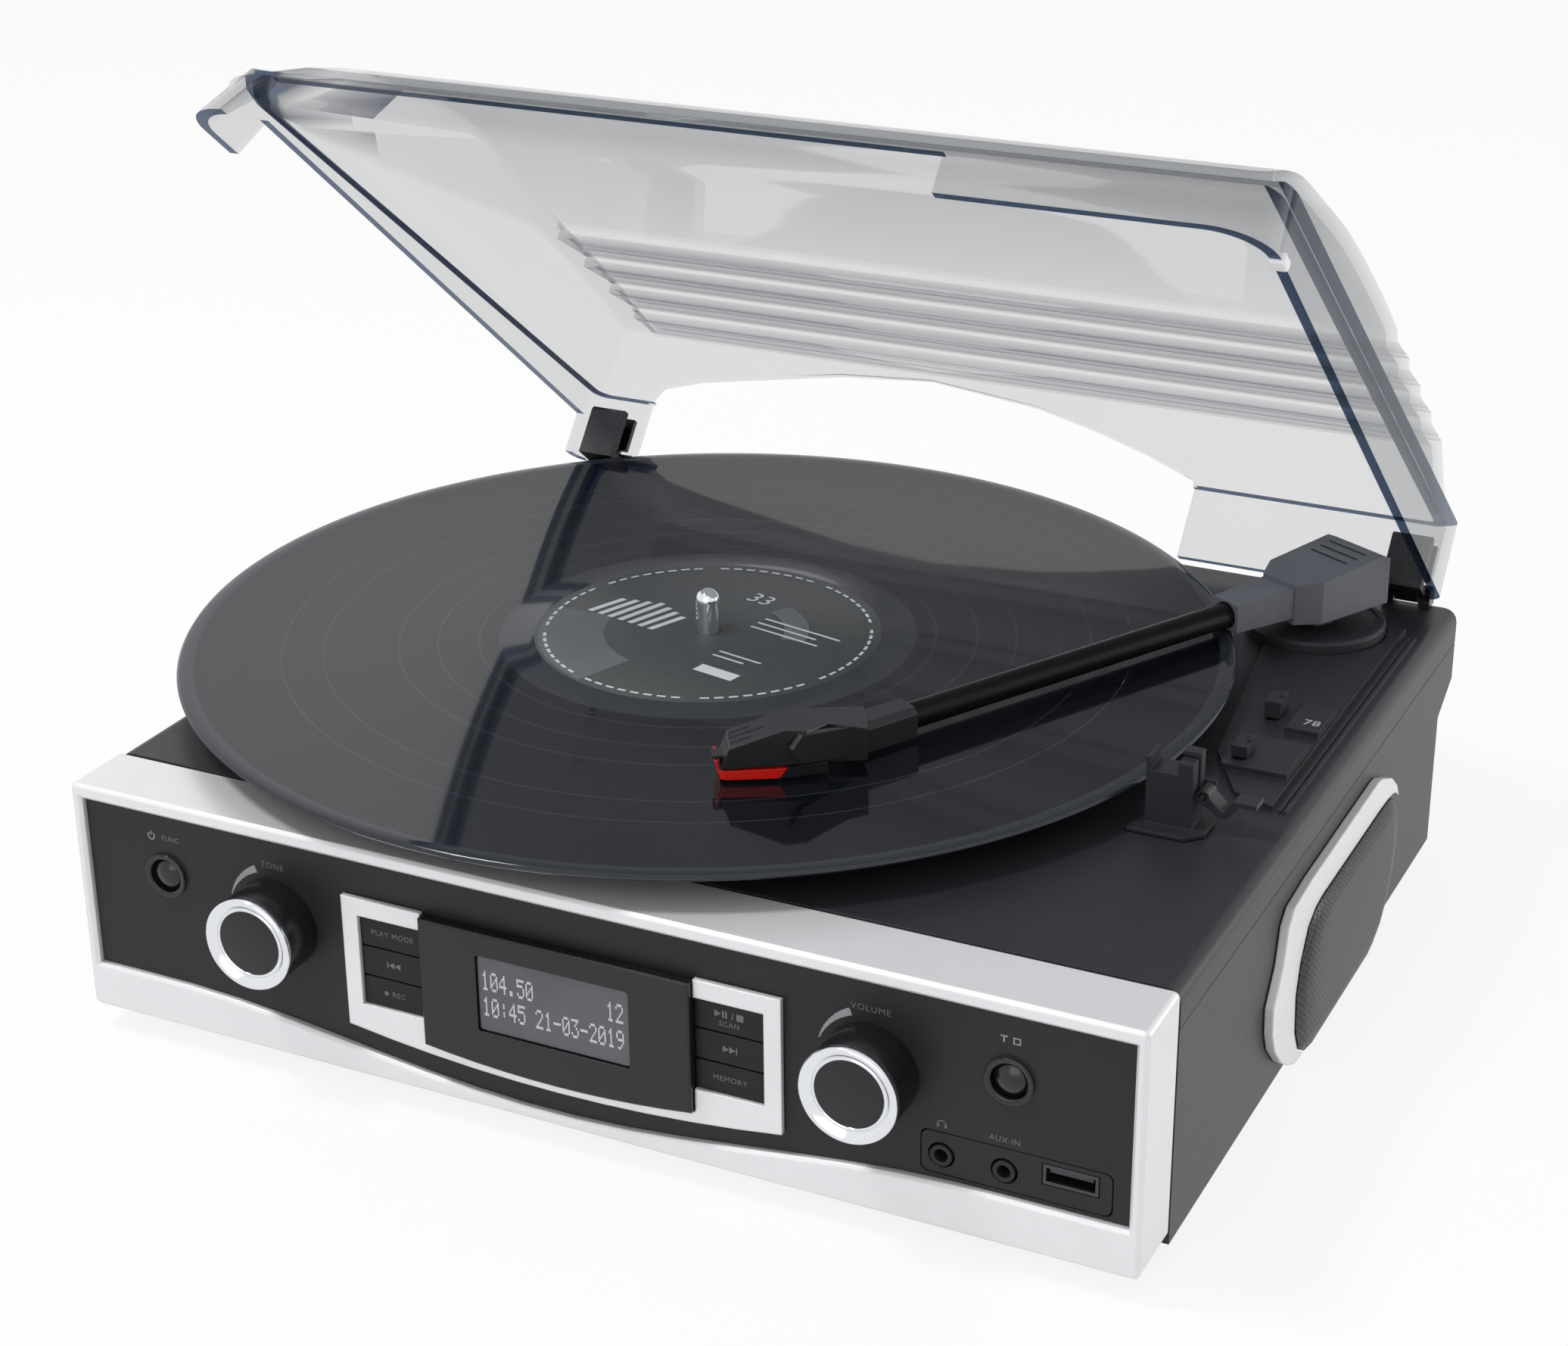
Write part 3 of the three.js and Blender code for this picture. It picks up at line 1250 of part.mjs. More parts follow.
function makeSlider(pad, base) {
  const s = slider;
  const z = deckZ + base + seat;
  const cap = block(
    pad.knobX - s.width / 2, pad.knobX + s.width / 2, pad.knobY - s.depth / 2, pad.knobY + s.depth / 2, z,
    z + s.height - base,
  );
  const grip = block(
    pad.knobX + s.width / 2 - s.gripWidth, pad.knobX + s.width / 2, pad.knobY, pad.knobY + s.depth / 2,
    z + s.height - base - seat, z + s.height - base + s.plinth,
  );
  const stem = block(
    pad.knobX - s.stem / 2, pad.knobX + s.stem / 2, pad.knobY - s.slotY / 2, pad.knobY + s.slotY / 2,
    deckZ - deck.plate - s.flange - seat, z + seat,
  );
  const flange = block(
    pad.knobX - s.width / 2, pad.knobX + s.width / 2, pad.knobY - s.slotY / 2, pad.knobY + s.slotY / 2,
    deckZ - deck.plate - s.flange - seat, deckZ - deck.plate - seat,
  );
  return join(cap, grip, stem, flange);
}

// Socket plate in the rear wall: a power inlet and two line sockets
function makeRearPlate() {
  const stepY = backY - tray.rearStepDepth;
  const p = rearPlate;
  const z = frontZ + p.z;
  let body = prism(
    'y', roundedRect(p.width - 2 * seat, p.height - 2 * seat, p.corner, p.x, z), stepY - wall,
    stepY - wall + p.thick,
  );
  const sockets = [
    [p.dcX, p.dcRadius, p.dcBore], [p.lineX, p.lineRadius, p.lineBore],
    [p.lineX + p.linePitch, p.lineRadius, p.lineBore],
  ];
  for (const [x, radius] of sockets) body = join(
    body, rod('y', radius, stepY - wall - p.length, stepY - wall + p.thick + p.proud, p.x + x, z, 14)
  );
  for (const [x, , bore] of sockets) body = cut(
    body, rod('y', bore, stepY - wall - p.length + p.thick, stepY + p.proud + overrun, p.x + x, z, 12)
  );
  return body;
}

function makeMainBoard() {
  const m = mainBoard;
  const z0 = trayZ + wall + tray.boardPostHeight + seat;
  const top = z0 + m.thick;
  let body = block(m.x - m.width / 2, m.x + m.width / 2, m.y - m.depth / 2, m.y + m.depth / 2, z0, top);
  body = join(
    body,
    block(
      m.x - m.chipWidth / 2, m.x + m.chipWidth / 2, m.y - m.chipWidth / 2, m.y + m.chipWidth / 2,
      top - seat, top + m.chipHeight,
    ),
  );
  body = join(
    body,
    block(
      m.x - m.width / 2 + m.sinkThick, m.x - m.width / 2 + 2 * m.sinkThick, m.y - m.sinkWidth / 2,
      m.y + m.sinkWidth / 2, top - seat, top + m.sinkHeight,
    ),
  );
  for (const step of [1, 2, 3]) {
    const x = m.x + m.width / 2 - m.canRadius * 3 * step;
    body = join(
      body,
      rod('z', m.canRadius, top - seat, top + m.canHeight, x, m.y + m.depth / 2 - m.canRadius * 2, 12),
    );
  }
  return body;
}

// Dust cover, drawn closed, in a frame whose origin is on the hinge axis
const lidAxis = (() => {
  const open = lid.openAngle * degree;
  const u = (lid.rimGap - lid.rearLift + hinge.rise * (1 - Math.cos(open))) / Math.sin(open);
  const y = lid.rimY - u * Math.cos(open) + hinge.rise * Math.sin(open);
  return { u, v: hinge.rise, y, z: deckZ + lid.rimGap + hinge.rise };
})();
const lidY = (u) => -(u - lidAxis.u);
const lidZ = (v) => v - lidAxis.v;
const sideOf = (points) => outline(points.map(([u, v]) => [lidY(u), lidZ(v)]));
const frontOf = (points) => outline(points.map(([x, v]) => [x, lidZ(v)]));

function lidProfile(withLouvres) {
  const places = lidTopShares.map(([a, b]) => new THREE.Vector2(a * lid.length, b * lid.height));
  const top = new THREE.SplineCurve(places).getPoints(lidTopSteps).map(({ x, y }) => [x, y]);
  const rear = [
    [lidRearShare.foot * lid.length, lidRearShare.ledge * lid.height],
    [lidRearShare.foot * lid.length, 0],
  ];
  const front = [[lid.length, 0], [lid.length, lid.frontRise]];
  if (!withLouvres) return [...front, ...top, ...rear];
  const steps = [];
  for (let i = 0; i < louvre.count; i += 1) {
    const u = louvre.first - i * louvre.pitch;
    steps.push([u, louvre.top], [u, louvre.top - louvre.drop]);
  }
  steps.push([louvre.first - louvre.count * louvre.pitch, louvre.top - louvre.settle]);
  return [...front, ...top.filter(([u]) => u > louvre.first + overrun), ...steps, ...rear];
}

function lidPlan(side, grow, radiusLeft, radiusRight, radiusRear) {
  const [w, u0, u1] = [lid.halfWidth - side, grow, lid.length - grow];
  const shape = new THREE.Shape();
  shape.moveTo(-w + radiusLeft, lidY(u1));
  shape.lineTo(w - radiusRight, lidY(u1));
  shape.absarc(w - radiusRight, lidY(u1) + radiusRight, radiusRight, -Math.PI / 2, 0);
  shape.lineTo(w, lidY(u0) - radiusRear);
  shape.absarc(w - radiusRear, lidY(u0) - radiusRear, radiusRear, 0, Math.PI / 2);
  shape.lineTo(-w + radiusRear, lidY(u0));
  shape.absarc(-w + radiusRear, lidY(u0) - radiusRear, radiusRear, Math.PI / 2, Math.PI);
  shape.lineTo(-w, lidY(u1) + radiusLeft);
  shape.absarc(-w + radiusLeft, lidY(u1) + radiusLeft, radiusLeft, Math.PI, Math.PI * 1.5);
  return shape;
}

// Rounds the front left corner by planes that touch a circle whose radius grows with the height
function leanCorner(body, growth, angles, radius, from, thickness) {
  return angles.reduce((rest_, angle) => {
    const [across, along] = [Math.cos(angle * degree), Math.sin(angle * degree)];
    const loss = across + along - 1;
    const normal = new THREE.Vector3(across, along, -loss * growth);
    const reach = across * lid.halfWidth + along * lid.length - loss * (radius - growth * from);
    const offset = along * lidAxis.u + loss * growth * lidAxis.v - reach;
    return rest_.trimByPlane(normal.toArray(), offset / normal.length() + thickness);
  }, body);
}

function lidForm(thickness, low) {
  const w = lid.halfWidth;
  const half = thickness / 2;
  const high = lidZ(lid.height + overrun);
  const profiles = [lidProfile(false), lidProfile(true)].map((points) => {
    const drawn = thickness > 0 ? inset(points, thickness) : points;
    return drawn.map(([u, v], i) => [u, points[i][1] === 0 ? low : v]);
  });
  const plain = prism('x', sideOf(profiles[0]), -w, louvre.left + thickness);
  const ribbed = prism('x', sideOf(profiles[1]), louvre.left + thickness, w);
  const domeShape = lidPlan(
    lid.sideInset + thickness, lid.inset + thickness, lid.domeLeft - half, lid.domeRight - half,
    lid.cornerRear - half,
  );
  const domePlan = prism('z', domeShape, lidZ(low), high, { segments: 6 });
  const side = w - lid.sideInset - thickness;
  const taper = prism('y', frontOf([
    [-side, low], [side, low], [side, lid.taperStart], [side - lid.taper, lid.height + overrun],
    [-side + lid.taper, lid.height + overrun], [-side, lid.taperStart],
  ]), lidY(lid.length), lidY(0));
  const leant = lid.cornerFront + lidGrowthShares.skirt * lid.slopeStart;
  const dome = leanCorner(
    common(join(plain, ribbed), domePlan, taper), lidGrowthShares.dome, lidCornerAngles.dome, leant,
    lid.slopeStart, thickness,
  );
  const drop = thickness > 0 ? lid.ledgeSkin : 0;
  const ledge = prism(
    'x',
    sideOf(
      [
        [0, low], [lid.length, low], [lid.length, lid.ledgeFront - lid.lipDrop - drop],
        [lid.length - lid.lipLength, lid.ledgeFront - drop], [0, lid.ledgeRear - drop],
      ],
    ),
    -w, w,
  );
  const skirtShape = lidPlan(
    thickness, thickness, lid.cornerFront - half, lid.cornerFront - half, lid.cornerRear - half,
  );
  const skirt = common(prism('z', skirtShape, lidZ(low), high, { segments: 6 }), ledge);
  return join(
    dome,
    leanCorner(skirt, lidGrowthShares.skirt, lidCornerAngles.skirt, lid.cornerFront, 0, thickness),
  );
}

function makeLid() {
  let body = cut(lidForm(0, 0), lidForm(lid.wall, -overrun));
  const f = cutFront;
  const front = prism(
    'y',
    frontOf(
      [
        [f.leftLow - overrun, -overrun], [f.right, -overrun], [f.right, f.height],
        [f.leftHigh + overrun, f.height], [f.leftHigh, f.slant],
      ],
    ),
    lidY(lid.length) - overrun, lidY(lid.length - lid.cornerFront),
  );
  const c = cutLeft;
  const left = prism(
    'x',
    sideOf([[c.rear, -overrun], [c.frontLow, -overrun], [c.frontHigh, c.height], [c.rear, c.height]]),
    -lid.halfWidth - overrun, -lid.halfWidth + lid.cornerFront,
  );
  const a = arch;
  const curve = archShares.map(([x, v]) => [x * (a.right - a.left), v * a.height]);
  const open = prism(
    'y',
    frontOf(
      [
        [a.left, -overrun], [a.right, -overrun], [a.right, a.rightRise], ...curve.reverse(),
        [a.left, a.sideRise],
      ],
    ),
    lidY(arch.reach), lidY(-overrun),
  );
  body = cut(body, front, left, open);
  for (const side of [-1, 1]) {
    const half = hinge.clipWidth / 2 + hinge.clipGap;
    body = cut(
      body,
      block(
        side * hinge.x - half, side * hinge.x + half, lidY(lid.wall + overrun * 2), lidY(-overrun),
        lidZ(-overrun), lidZ(hinge.notch),
      ),
    );
  }
  return body;
}

// Clip that grips the cover's rear wall, with the hinge barrel on its outer plate
function makeHingeClip() {
  const h = hinge;
  const half = h.clipWidth / 2;
  const g = h.clipGap;
  const shape = sideOf(
    [
      [lid.wall + 2 * g + h.innerThick, h.clipGap], [lid.wall + 2 * g + h.innerThick, h.height - overrun],
      [lid.wall + 2 * g + h.innerThick - overrun, h.height],
      [lid.wall + lidRearShare.foot * lid.length + g, h.height],
      [lid.wall + lidRearShare.foot * lid.length + g, h.notch - g], [-g, h.notch - g], [-g, h.height],
      [-g - h.outerThick, h.height], [-g - h.outerThick, h.clipGap],
    ],
  );
  let body = prism('x', shape, -half, half);
  body = join(body, rod('x', h.radius, -h.barrelWidth / 2, h.barrelWidth / 2, 0, 0, 20));
  const ear = h.radius + 2 * seat;
  for (const side of [-1, 1]) {
    const [x0, x1] = side > 0 ? [h.barrelWidth / 2, half + overrun] : [-half - overrun, -h.barrelWidth / 2];
    body = cut(body, block(x0, x1, -ear, ear + overrun, -ear - overrun, ear));
  }
  return cut(body, rod('x', h.pin + h.pinGap, -half - overrun, half + overrun, 0, 0, 14));
}

// Hinge foot on the deck: two ears and the pin through them
function makeHingeBase() {
  const h = hinge;
  const low = deckZ + seat - lidAxis.z;
  const inner = h.barrelWidth / 2 + h.earGap;
  const outer = inner + h.earWidth;
  let body = rod('x', h.pin, -outer, outer, 0, 0, 14);
  for (const side of [-1, 1]) {
    const [x0, x1] = side > 0 ? [inner, outer] : [-outer, -inner];
    body = join(
      body, rod('x', h.radius, x0, x1, 0, 0, 20), block(x0, x1, -h.radius, h.radius, low, -h.radius / 2),
    );
  }
  return body;
}

// Assembly
place('base_tray', makeTray(), materials.bodyPlastic);
const feet = [
  ['foot_front_left', -1, -1], ['foot_front_right', 1, -1], ['foot_rear_left', -1, 1],
  ['foot_rear_right', 1, 1],
];
for (const [name, side, back] of feet) {
  const y = back > 0 ? backY - tray.rearStepDepth - foot.insetY : stripY + seat + foot.insetY;
  place(name, makeFoot(), materials.rubber, player, [side * (halfWidth - foot.insetX), y, 0]);
}
place('front_frame', makeFrame(), materials.silver);
place('front_panel', makePanel(), materials.panelBlack);
place('display_bracket', makeBracket(), materials.silver);
place('display_bezel', makeBezel(), materials.glossBlack);
place('display_screen', makeScreen(), materials.screenGlass);
for (const [sideName, side] of [['left', -1], ['right', 1]]) {
  const x = group.x + side * (bezel.width / 2 + seat + key.width / 2);
  ['top', 'middle', 'bottom'].forEach((row, i) => {
    place(`key_${sideName}_${row}`, makeKey(x, keysZ() + (1 - i) * key.pitch), materials.panelBlack);
  });
}
place('power_button', makeRoundKey(roundKey.powerX), materials.glossBlack);
place('mode_button', makeRoundKey(roundKey.modeX), materials.glossBlack);
place('tone_knob', makeKnob(knob.toneX), materials.glossBlack);
place('tone_knob_ring', makeRing(knob.toneX), materials.chrome);
place('volume_knob', makeKnob(knob.volumeX), materials.glossBlack);
place('volume_knob_ring', makeRing(knob.volumeX), materials.chrome);
place('control_board', makeControlBoard(), materials.boardGreen);
place('jack_plate', makeJackPlate(), materials.panelBlack);
place('headphone_socket', makeSocket(socket.phonesX), materials.panelBlack);
place('aux_socket', makeSocket(socket.auxX), materials.panelBlack);
place('usb_socket', makeUsb(), materials.steel);
for (const [name, side] of [['left', -1], ['right', 1]]) {
  place(`speaker_trim_${name}`, makeTrim(side), materials.silver);
  place(`speaker_grille_${name}`, makeGrille(side), materials.mesh);
  place(`speaker_driver_${name}`, makeDriver(side), materials.paper);
}
place('top_deck', makeDeck(), materials.bodyPlastic);
place('platter_bearing', makeBearing(), materials.steel);
place('platter', makePlatter(), materials.bodyPlastic);
place('slip_mat', makeMat(), materials.rubber);
place('record', makeRecord(), materials.vinyl);
place('spindle', makeSpindle(), materials.chrome);
place('drive_motor', makeMotor(), materials.steel);
place('motor_pulley', makePulley(), materials.steel);
place('drive_belt', makeBelt(), materials.rubber);
place('main_board', makeMainBoard(), materials.boardGreen);
place('rear_socket_plate', makeRearPlate(), materials.panelBlack);
place('arm_base', makeArmBase(), materials.bodyPlastic, player, [armBase.x, armBase.y, deckZ]);
place('arm_rest', makeRest(), materials.bodyPlastic);
place('arm_clip', makeClip(), materials.bodyPlastic);
place('autostop_switch', makeSlider(autostop, platform.padRise), materials.panelBlack);
place('speed_selector', makeSlider(speed, platform.rise), materials.panelBlack);

const armGroup = new THREE.Group();
armGroup.position.set(arm.pivotX, arm.pivotY, deckZ);
armGroup.rotation.z = arm.angle * degree;
player.add(armGroup);
place('arm_yoke', makeYoke(), materials.bodyPlastic, armGroup);
place('arm_head', makeHead(), materials.bodyPlastic, armGroup);
place('arm_tube', makeTube(), materials.glossBlack, armGroup);
place('headshell', makeShell(), materials.bodyPlastic, armGroup);
place('cartridge', makeCartridge(), materials.panelBlack, armGroup);
place('stylus', makeStylus(), materials.red, armGroup);

for (const [name, side] of [['left', -1], ['right', 1]]) {
  place(
    `hinge_base_${name}`, makeHingeBase(), materials.bodyPlastic, player,
    [side * hinge.x, lidAxis.y, lidAxis.z],
  );
}
const lidGroup = new THREE.Group();
lidGroup.position.set(0, lidAxis.y, lidAxis.z);
lidGroup.rotation.x = -lid.openAngle * degree;
player.add(lidGroup);
place('dust_cover', makeLid(), materials.cover, lidGroup);
for (const [name, side] of [['left', -1], ['right', 1]]) place(
  `hinge_clip_${name}`, makeHingeClip(), materials.bodyPlastic, lidGroup, [side * hinge.x, 0, 0]
);

// The origin is under the middle of the whole object's box
player.updateMatrixWorld(true);
const box = new THREE.Box3().setFromObject(player, true);
player.position.set(-(box.min.x + box.max.x) / 2, -(box.min.y + box.max.y) / 2, -box.min.z);
player.updateMatrixWorld(true);

export default player;
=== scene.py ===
"""Record player with a built-in radio: finishes, printed marks, finely turned pieces, light and camera
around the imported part. Blender's lengths are metres, and MM turns millimetres into metres."""

import math

import bmesh
import bpy
from mathutils import Matrix, Vector

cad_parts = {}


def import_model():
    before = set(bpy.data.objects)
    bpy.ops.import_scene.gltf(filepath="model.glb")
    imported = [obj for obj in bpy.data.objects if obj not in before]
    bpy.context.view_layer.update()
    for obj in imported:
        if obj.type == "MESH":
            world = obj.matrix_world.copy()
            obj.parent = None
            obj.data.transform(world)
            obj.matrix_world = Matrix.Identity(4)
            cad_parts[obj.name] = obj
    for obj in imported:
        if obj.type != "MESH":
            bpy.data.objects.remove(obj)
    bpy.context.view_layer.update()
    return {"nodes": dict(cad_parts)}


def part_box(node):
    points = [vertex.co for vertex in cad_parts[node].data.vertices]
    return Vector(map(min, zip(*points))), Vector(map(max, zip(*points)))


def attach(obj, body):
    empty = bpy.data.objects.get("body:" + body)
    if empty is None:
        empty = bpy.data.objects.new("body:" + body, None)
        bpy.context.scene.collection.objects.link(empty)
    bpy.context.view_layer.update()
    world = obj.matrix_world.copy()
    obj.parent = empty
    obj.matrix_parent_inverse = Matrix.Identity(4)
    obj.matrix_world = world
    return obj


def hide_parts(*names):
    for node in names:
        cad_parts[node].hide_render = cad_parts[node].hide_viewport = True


MM = 0.001

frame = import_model()
NODES = frame["nodes"]


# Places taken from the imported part
def middle(node):
    """The middle of a CAD node's box, in metres."""
    low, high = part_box(node)
    return (low + high) / 2


SPINDLE = middle("spindle")
RECORD_LOW, RECORD_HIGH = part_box("record")
RECORD_TOP = RECORD_HIGH.z
RECORD_RADIUS = (RECORD_HIGH.x - RECORD_LOW.x) / 2
BUTTON_RING_PROUD = 0.7
PANEL_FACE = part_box("front_panel")[0].y + BUTTON_RING_PROUD * MM
DECK_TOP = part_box("front_frame")[1].z
BODY = middle("base_tray")

# Turns a flat drawing in X and Y so that it stands upright and faces the front
FRONT = Matrix.Rotation(math.radians(90), 4, "X")
FLAT = Matrix.Identity(4)


# Colours as they look in daylight, 0 to 255
def tone(red, green, blue):
    """A colour given 0 to 255 as the linear values that a shader takes."""
    full, knee, slope, offset, gamma = 255, 0.04045, 12.92, 0.055, 2.4
    linear = []
    for value in (red, green, blue):
        share = value / full
        low = share / slope
        high = ((share + offset) / (1 + offset)) ** gamma
        linear.append(low if share <= knee else high)
    return (*linear, 1.0)


def scaled(color, factor):
    """The colour made lighter or darker."""
    return (*[min(1.0, value * factor) for value in color[:3]], 1.0)


# Materials
def add(tree, kind, inputs=None, **settings):
    """A node of that kind with its settings and its unlinked inputs."""
    made = tree.nodes.new(kind)
    for name, value in settings.items():
        setattr(made, name, value)
    for name, value in (inputs or {}).items():
        made.inputs[name].default_value = value
    return made


def start(name, inputs):
    """A new material with a Principled shader set to these inputs."""
    material = bpy.data.materials.new(name)
    material.use_nodes = True
    tree = material.node_tree
    shader = tree.nodes["Principled BSDF"]
    for key, value in inputs.items():
        shader.inputs[key].default_value = value
    return material, tree, shader


def spread(tree, source, low, high, start_at=0.3, end_at=0.7):
    """Maps a noise value onto a range."""
    reach = {"From Min": start_at, "From Max": end_at, "To Min": low, "To Max": high}
    remap = add(tree, "ShaderNodeMapRange", reach)
    tree.links.new(source, remap.inputs["Value"])
    return remap.outputs["Result"]


def colored(sockets):
    """The sockets of a Mix node that carry colours."""
    return [socket for socket in sockets if socket.type == "RGBA"]


def blend(tree, share, first, second):
    """Mixes two colours, each a socket or a colour."""
    mix = add(tree, "ShaderNodeMix", data_type="RGBA")
    tree.links.new(share, mix.inputs["Factor"])
    for end, color in zip(colored(mix.inputs), (first, second)):
        if isinstance(color, tuple):
            end.default_value = color
        else:
            tree.links.new(color, end)
    return colored(mix.outputs)[0]


def counted(tree, operation, first, second=None):
    """One sum. Each value is a socket or a number."""
    made = add(tree, "ShaderNodeMath", operation=operation)
    for end, value in zip(made.inputs, (first, second)):
        if isinstance(value, float):
            end.default_value = value
        elif value is not None:
            tree.links.new(value, end)
    return made.outputs["Value"]


def product(tree, first, *others):
    """The product of these values."""
    found = first
    for value in others:
        found = counted(tree, "MULTIPLY", found, value)
    return found


def along(tree, source, direction):
    """How far a vector reaches along a direction."""
    made = add(tree, "ShaderNodeVectorMath", operation="DOT_PRODUCT")
    made.inputs[1].default_value = direction
    tree.links.new(source, made.inputs[0])
    return made.outputs["Value"]


def patches(tree, coordinates, color, scale, amount):
    """The colour with soft lighter and darker patches."""
    noise = add(tree, "ShaderNodeTexNoise", {"Scale": scale, "Detail": 4.0, "Roughness": 0.6})
    tree.links.new(coordinates, noise.inputs["Vector"])
    share = spread(tree, noise.outputs["Fac"], 0.0, 1.0)
    return blend(tree, share, scaled(color, 1 - amount), scaled(color, 1 + amount))


def bumped(tree, shader, height, strength, distance, edge=0.0):
    """Raises the surface by the height and softens its edges. Distance and edge are millimetres."""
    bump = add(tree, "ShaderNodeBump", {"Strength": strength, "Distance": distance * MM})
    tree.links.new(height, bump.inputs["Height"])
    if edge:
        soft = add(tree, "ShaderNodeBevel", {"Radius": edge * MM}, samples=4)
        tree.links.new(soft.outputs["Normal"], bump.inputs["Normal"])
    tree.links.new(bump.outputs["Normal"], shader.inputs["Normal"])


def chosen(tree, share, first, second, output):
    """Mixes two shaders by the share and gives them to the output."""
    mix = add(tree, "ShaderNodeMixShader")
    tree.links.new(share, mix.inputs["Fac"])
    tree.links.new(first, mix.inputs[1])
    tree.links.new(second, mix.inputs[2])
    tree.links.new(mix.outputs["Shader"], output.inputs["Surface"])


def finish(
        name, color, roughness, metallic=0.0, specular=0.5, amount=0.08, patch=45.0, grain=1500.0, depth=0.02,
        strength=0.25, wander=0.05, edge=0.35):
    """A moulded or painted surface: soft patches in its colour, a fine grain in its bump and its gloss, and
    softened edges. Depth and edge are millimetres, and patch and grain are counts per metre."""
    material, tree, shader = start(name, {"Metallic": metallic, "Specular IOR Level": specular})
    place = add(tree, "ShaderNodeTexCoord").outputs["Object"]
    tree.links.new(patches(tree, place, color, patch, amount), shader.inputs["Base Color"])
    fine = add(tree, "ShaderNodeTexNoise", {"Scale": grain, "Detail": 2.0})
    tree.links.new(place, fine.inputs["Vector"])
    gloss = spread(tree, fine.outputs["Fac"], roughness - wander, roughness + wander)
    tree.links.new(gloss, shader.inputs["Roughness"])
    bumped(tree, shader, fine.outputs["Fac"], strength, depth, edge)
    return material


# The record's grooves, counted in millimetres from the spindle
TRACK_GAPS = (65.3, 77.0, 88.0, 99.0, 109.5, 121.0)
GAP_WIDTH = 0.45
LEAD_OUT = 59.5
LEAD_IN = 145.6
# Painted sheen: the vinyl's tones in quiet and loud passages and on its smooth bands, standing in for how the
# grooves and the smooth vinyl reflect light
QUIET_SHEEN_TONE = tone(6, 8, 13)
LOUD_SHEEN_TONE = tone(11, 14, 21)
SMOOTH_SHEEN_TONE = tone(40, 43, 50)
GROOVE_ROUGHNESS = (0.24, 0.34)
SMOOTH_ROUGHNESS = 0.16


def smooth_bands(tree, radius):
    """White where the vinyl is smooth: round its label, in the gaps between tracks and along its rim."""
    bands = add(tree, "ShaderNodeValToRGB")
    ramp = bands.color_ramp
    ramp.interpolation = "CONSTANT"
    white, black = (1, 1, 1, 1), (0, 0, 0, 1)
    ramp.elements[0].color = white
    ramp.elements[1].position = LEAD_OUT * MM / RECORD_RADIUS
    ramp.elements[1].color = black
    for gap in TRACK_GAPS:
        ramp.elements.new(gap * MM / RECORD_RADIUS).color = white
        ramp.elements.new((gap + GAP_WIDTH) * MM / RECORD_RADIUS).color = black
    ramp.elements.new(LEAD_IN * MM / RECORD_RADIUS).color = white
    tree.links.new(counted(tree, "DIVIDE", radius, RECORD_RADIUS), bands.inputs["Fac"])
    return bands.outputs["Color"]


def vinyl():
    """Black vinyl with grooves round the spindle, smooth gaps between tracks, and the grooves' long sheen.
    Its colour carries painted sheen: the smooth bands lighter, loud passages lighter than quiet ones, and its
    reflections tinted blue.
    """
    material, tree, shader = start("vinyl", {
        "Anisotropic": 0.85, "Anisotropic Rotation": 0.25, "IOR": 1.1, "Specular Tint": tone(196, 214, 255),
        "Coat Weight": 0.66, "Coat Roughness": 0.05, "Coat IOR": 1.5, "Coat Tint": tone(250, 252, 255)})
    place = add(tree, "ShaderNodeTexCoord").outputs["Object"]
    split = add(tree, "ShaderNodeSeparateXYZ")
    flat = add(tree, "ShaderNodeCombineXYZ")
    tree.links.new(place, split.inputs["Vector"])
    tree.links.new(split.outputs["X"], flat.inputs["X"])
    tree.links.new(split.outputs["Y"], flat.inputs["Y"])
    length = add(tree, "ShaderNodeVectorMath", operation="LENGTH")
    tree.links.new(flat.outputs["Vector"], length.inputs[0])
    radius = length.outputs["Value"]
    smooth = smooth_bands(tree, radius)
    # Loud and quiet passages, painted as lighter and darker sheen, and the single grooves
    passages = {"Scale": 420.0, "Detail": 6.0, "Roughness": 0.7}
    passage = add(tree, "ShaderNodeTexNoise", passages, noise_dimensions="1D")
    groove = add(tree, "ShaderNodeTexNoise", {"Scale": 2600.0, "Detail": 1.0}, noise_dimensions="1D")
    tree.links.new(radius, passage.inputs["W"])
    tree.links.new(radius, groove.inputs["W"])
    grooved = blend(tree, spread(tree, passage.outputs["Fac"], 0.0, 1.0), QUIET_SHEEN_TONE, LOUD_SHEEN_TONE)
    tree.links.new(blend(tree, smooth, grooved, SMOOTH_SHEEN_TONE), shader.inputs["Base Color"])
    rough = add(tree, "ShaderNodeMix", data_type="FLOAT")
    floats = [socket for socket in rough.inputs if socket.type == "VALUE" and socket.name in ("A", "B")]
    tree.links.new(smooth, rough.inputs["Factor"])
    tree.links.new(spread(tree, passage.outputs["Fac"], *GROOVE_ROUGHNESS), floats[0])
    floats[1].default_value = SMOOTH_ROUGHNESS
    mixed = [socket for socket in rough.outputs if socket.type == "VALUE"][0]
    tree.links.new(mixed, shader.inputs["Roughness"])
    bumped(tree, shader, groove.outputs["Fac"], strength=0.03, distance=0.02)
    around = add(tree, "ShaderNodeTangent", direction_type="RADIAL", axis="Z")
    tree.links.new(around.outputs["Tangent"], shader.inputs["Tangent"])
    return material


# The open cover: its directions, its tints and its louvres. The first louvre and the pitch are millimetres
# along the cover from its hinges, and heights are millimetres above its rim.
COVER_OPEN = math.radians(39.6)
COVER_UP = Vector((0, math.sin(COVER_OPEN), math.cos(COVER_OPEN)))
COVER_ALONG = Vector((0, -math.cos(COVER_OPEN), math.sin(COVER_OPEN)))
COVER_RIM = min(corner.co.dot(COVER_UP) for corner in NODES["dust_cover"].data.vertices)
HINGE_AXIS = middle("hinge_base_right")
FACE_TINT = tone(227, 227, 227)
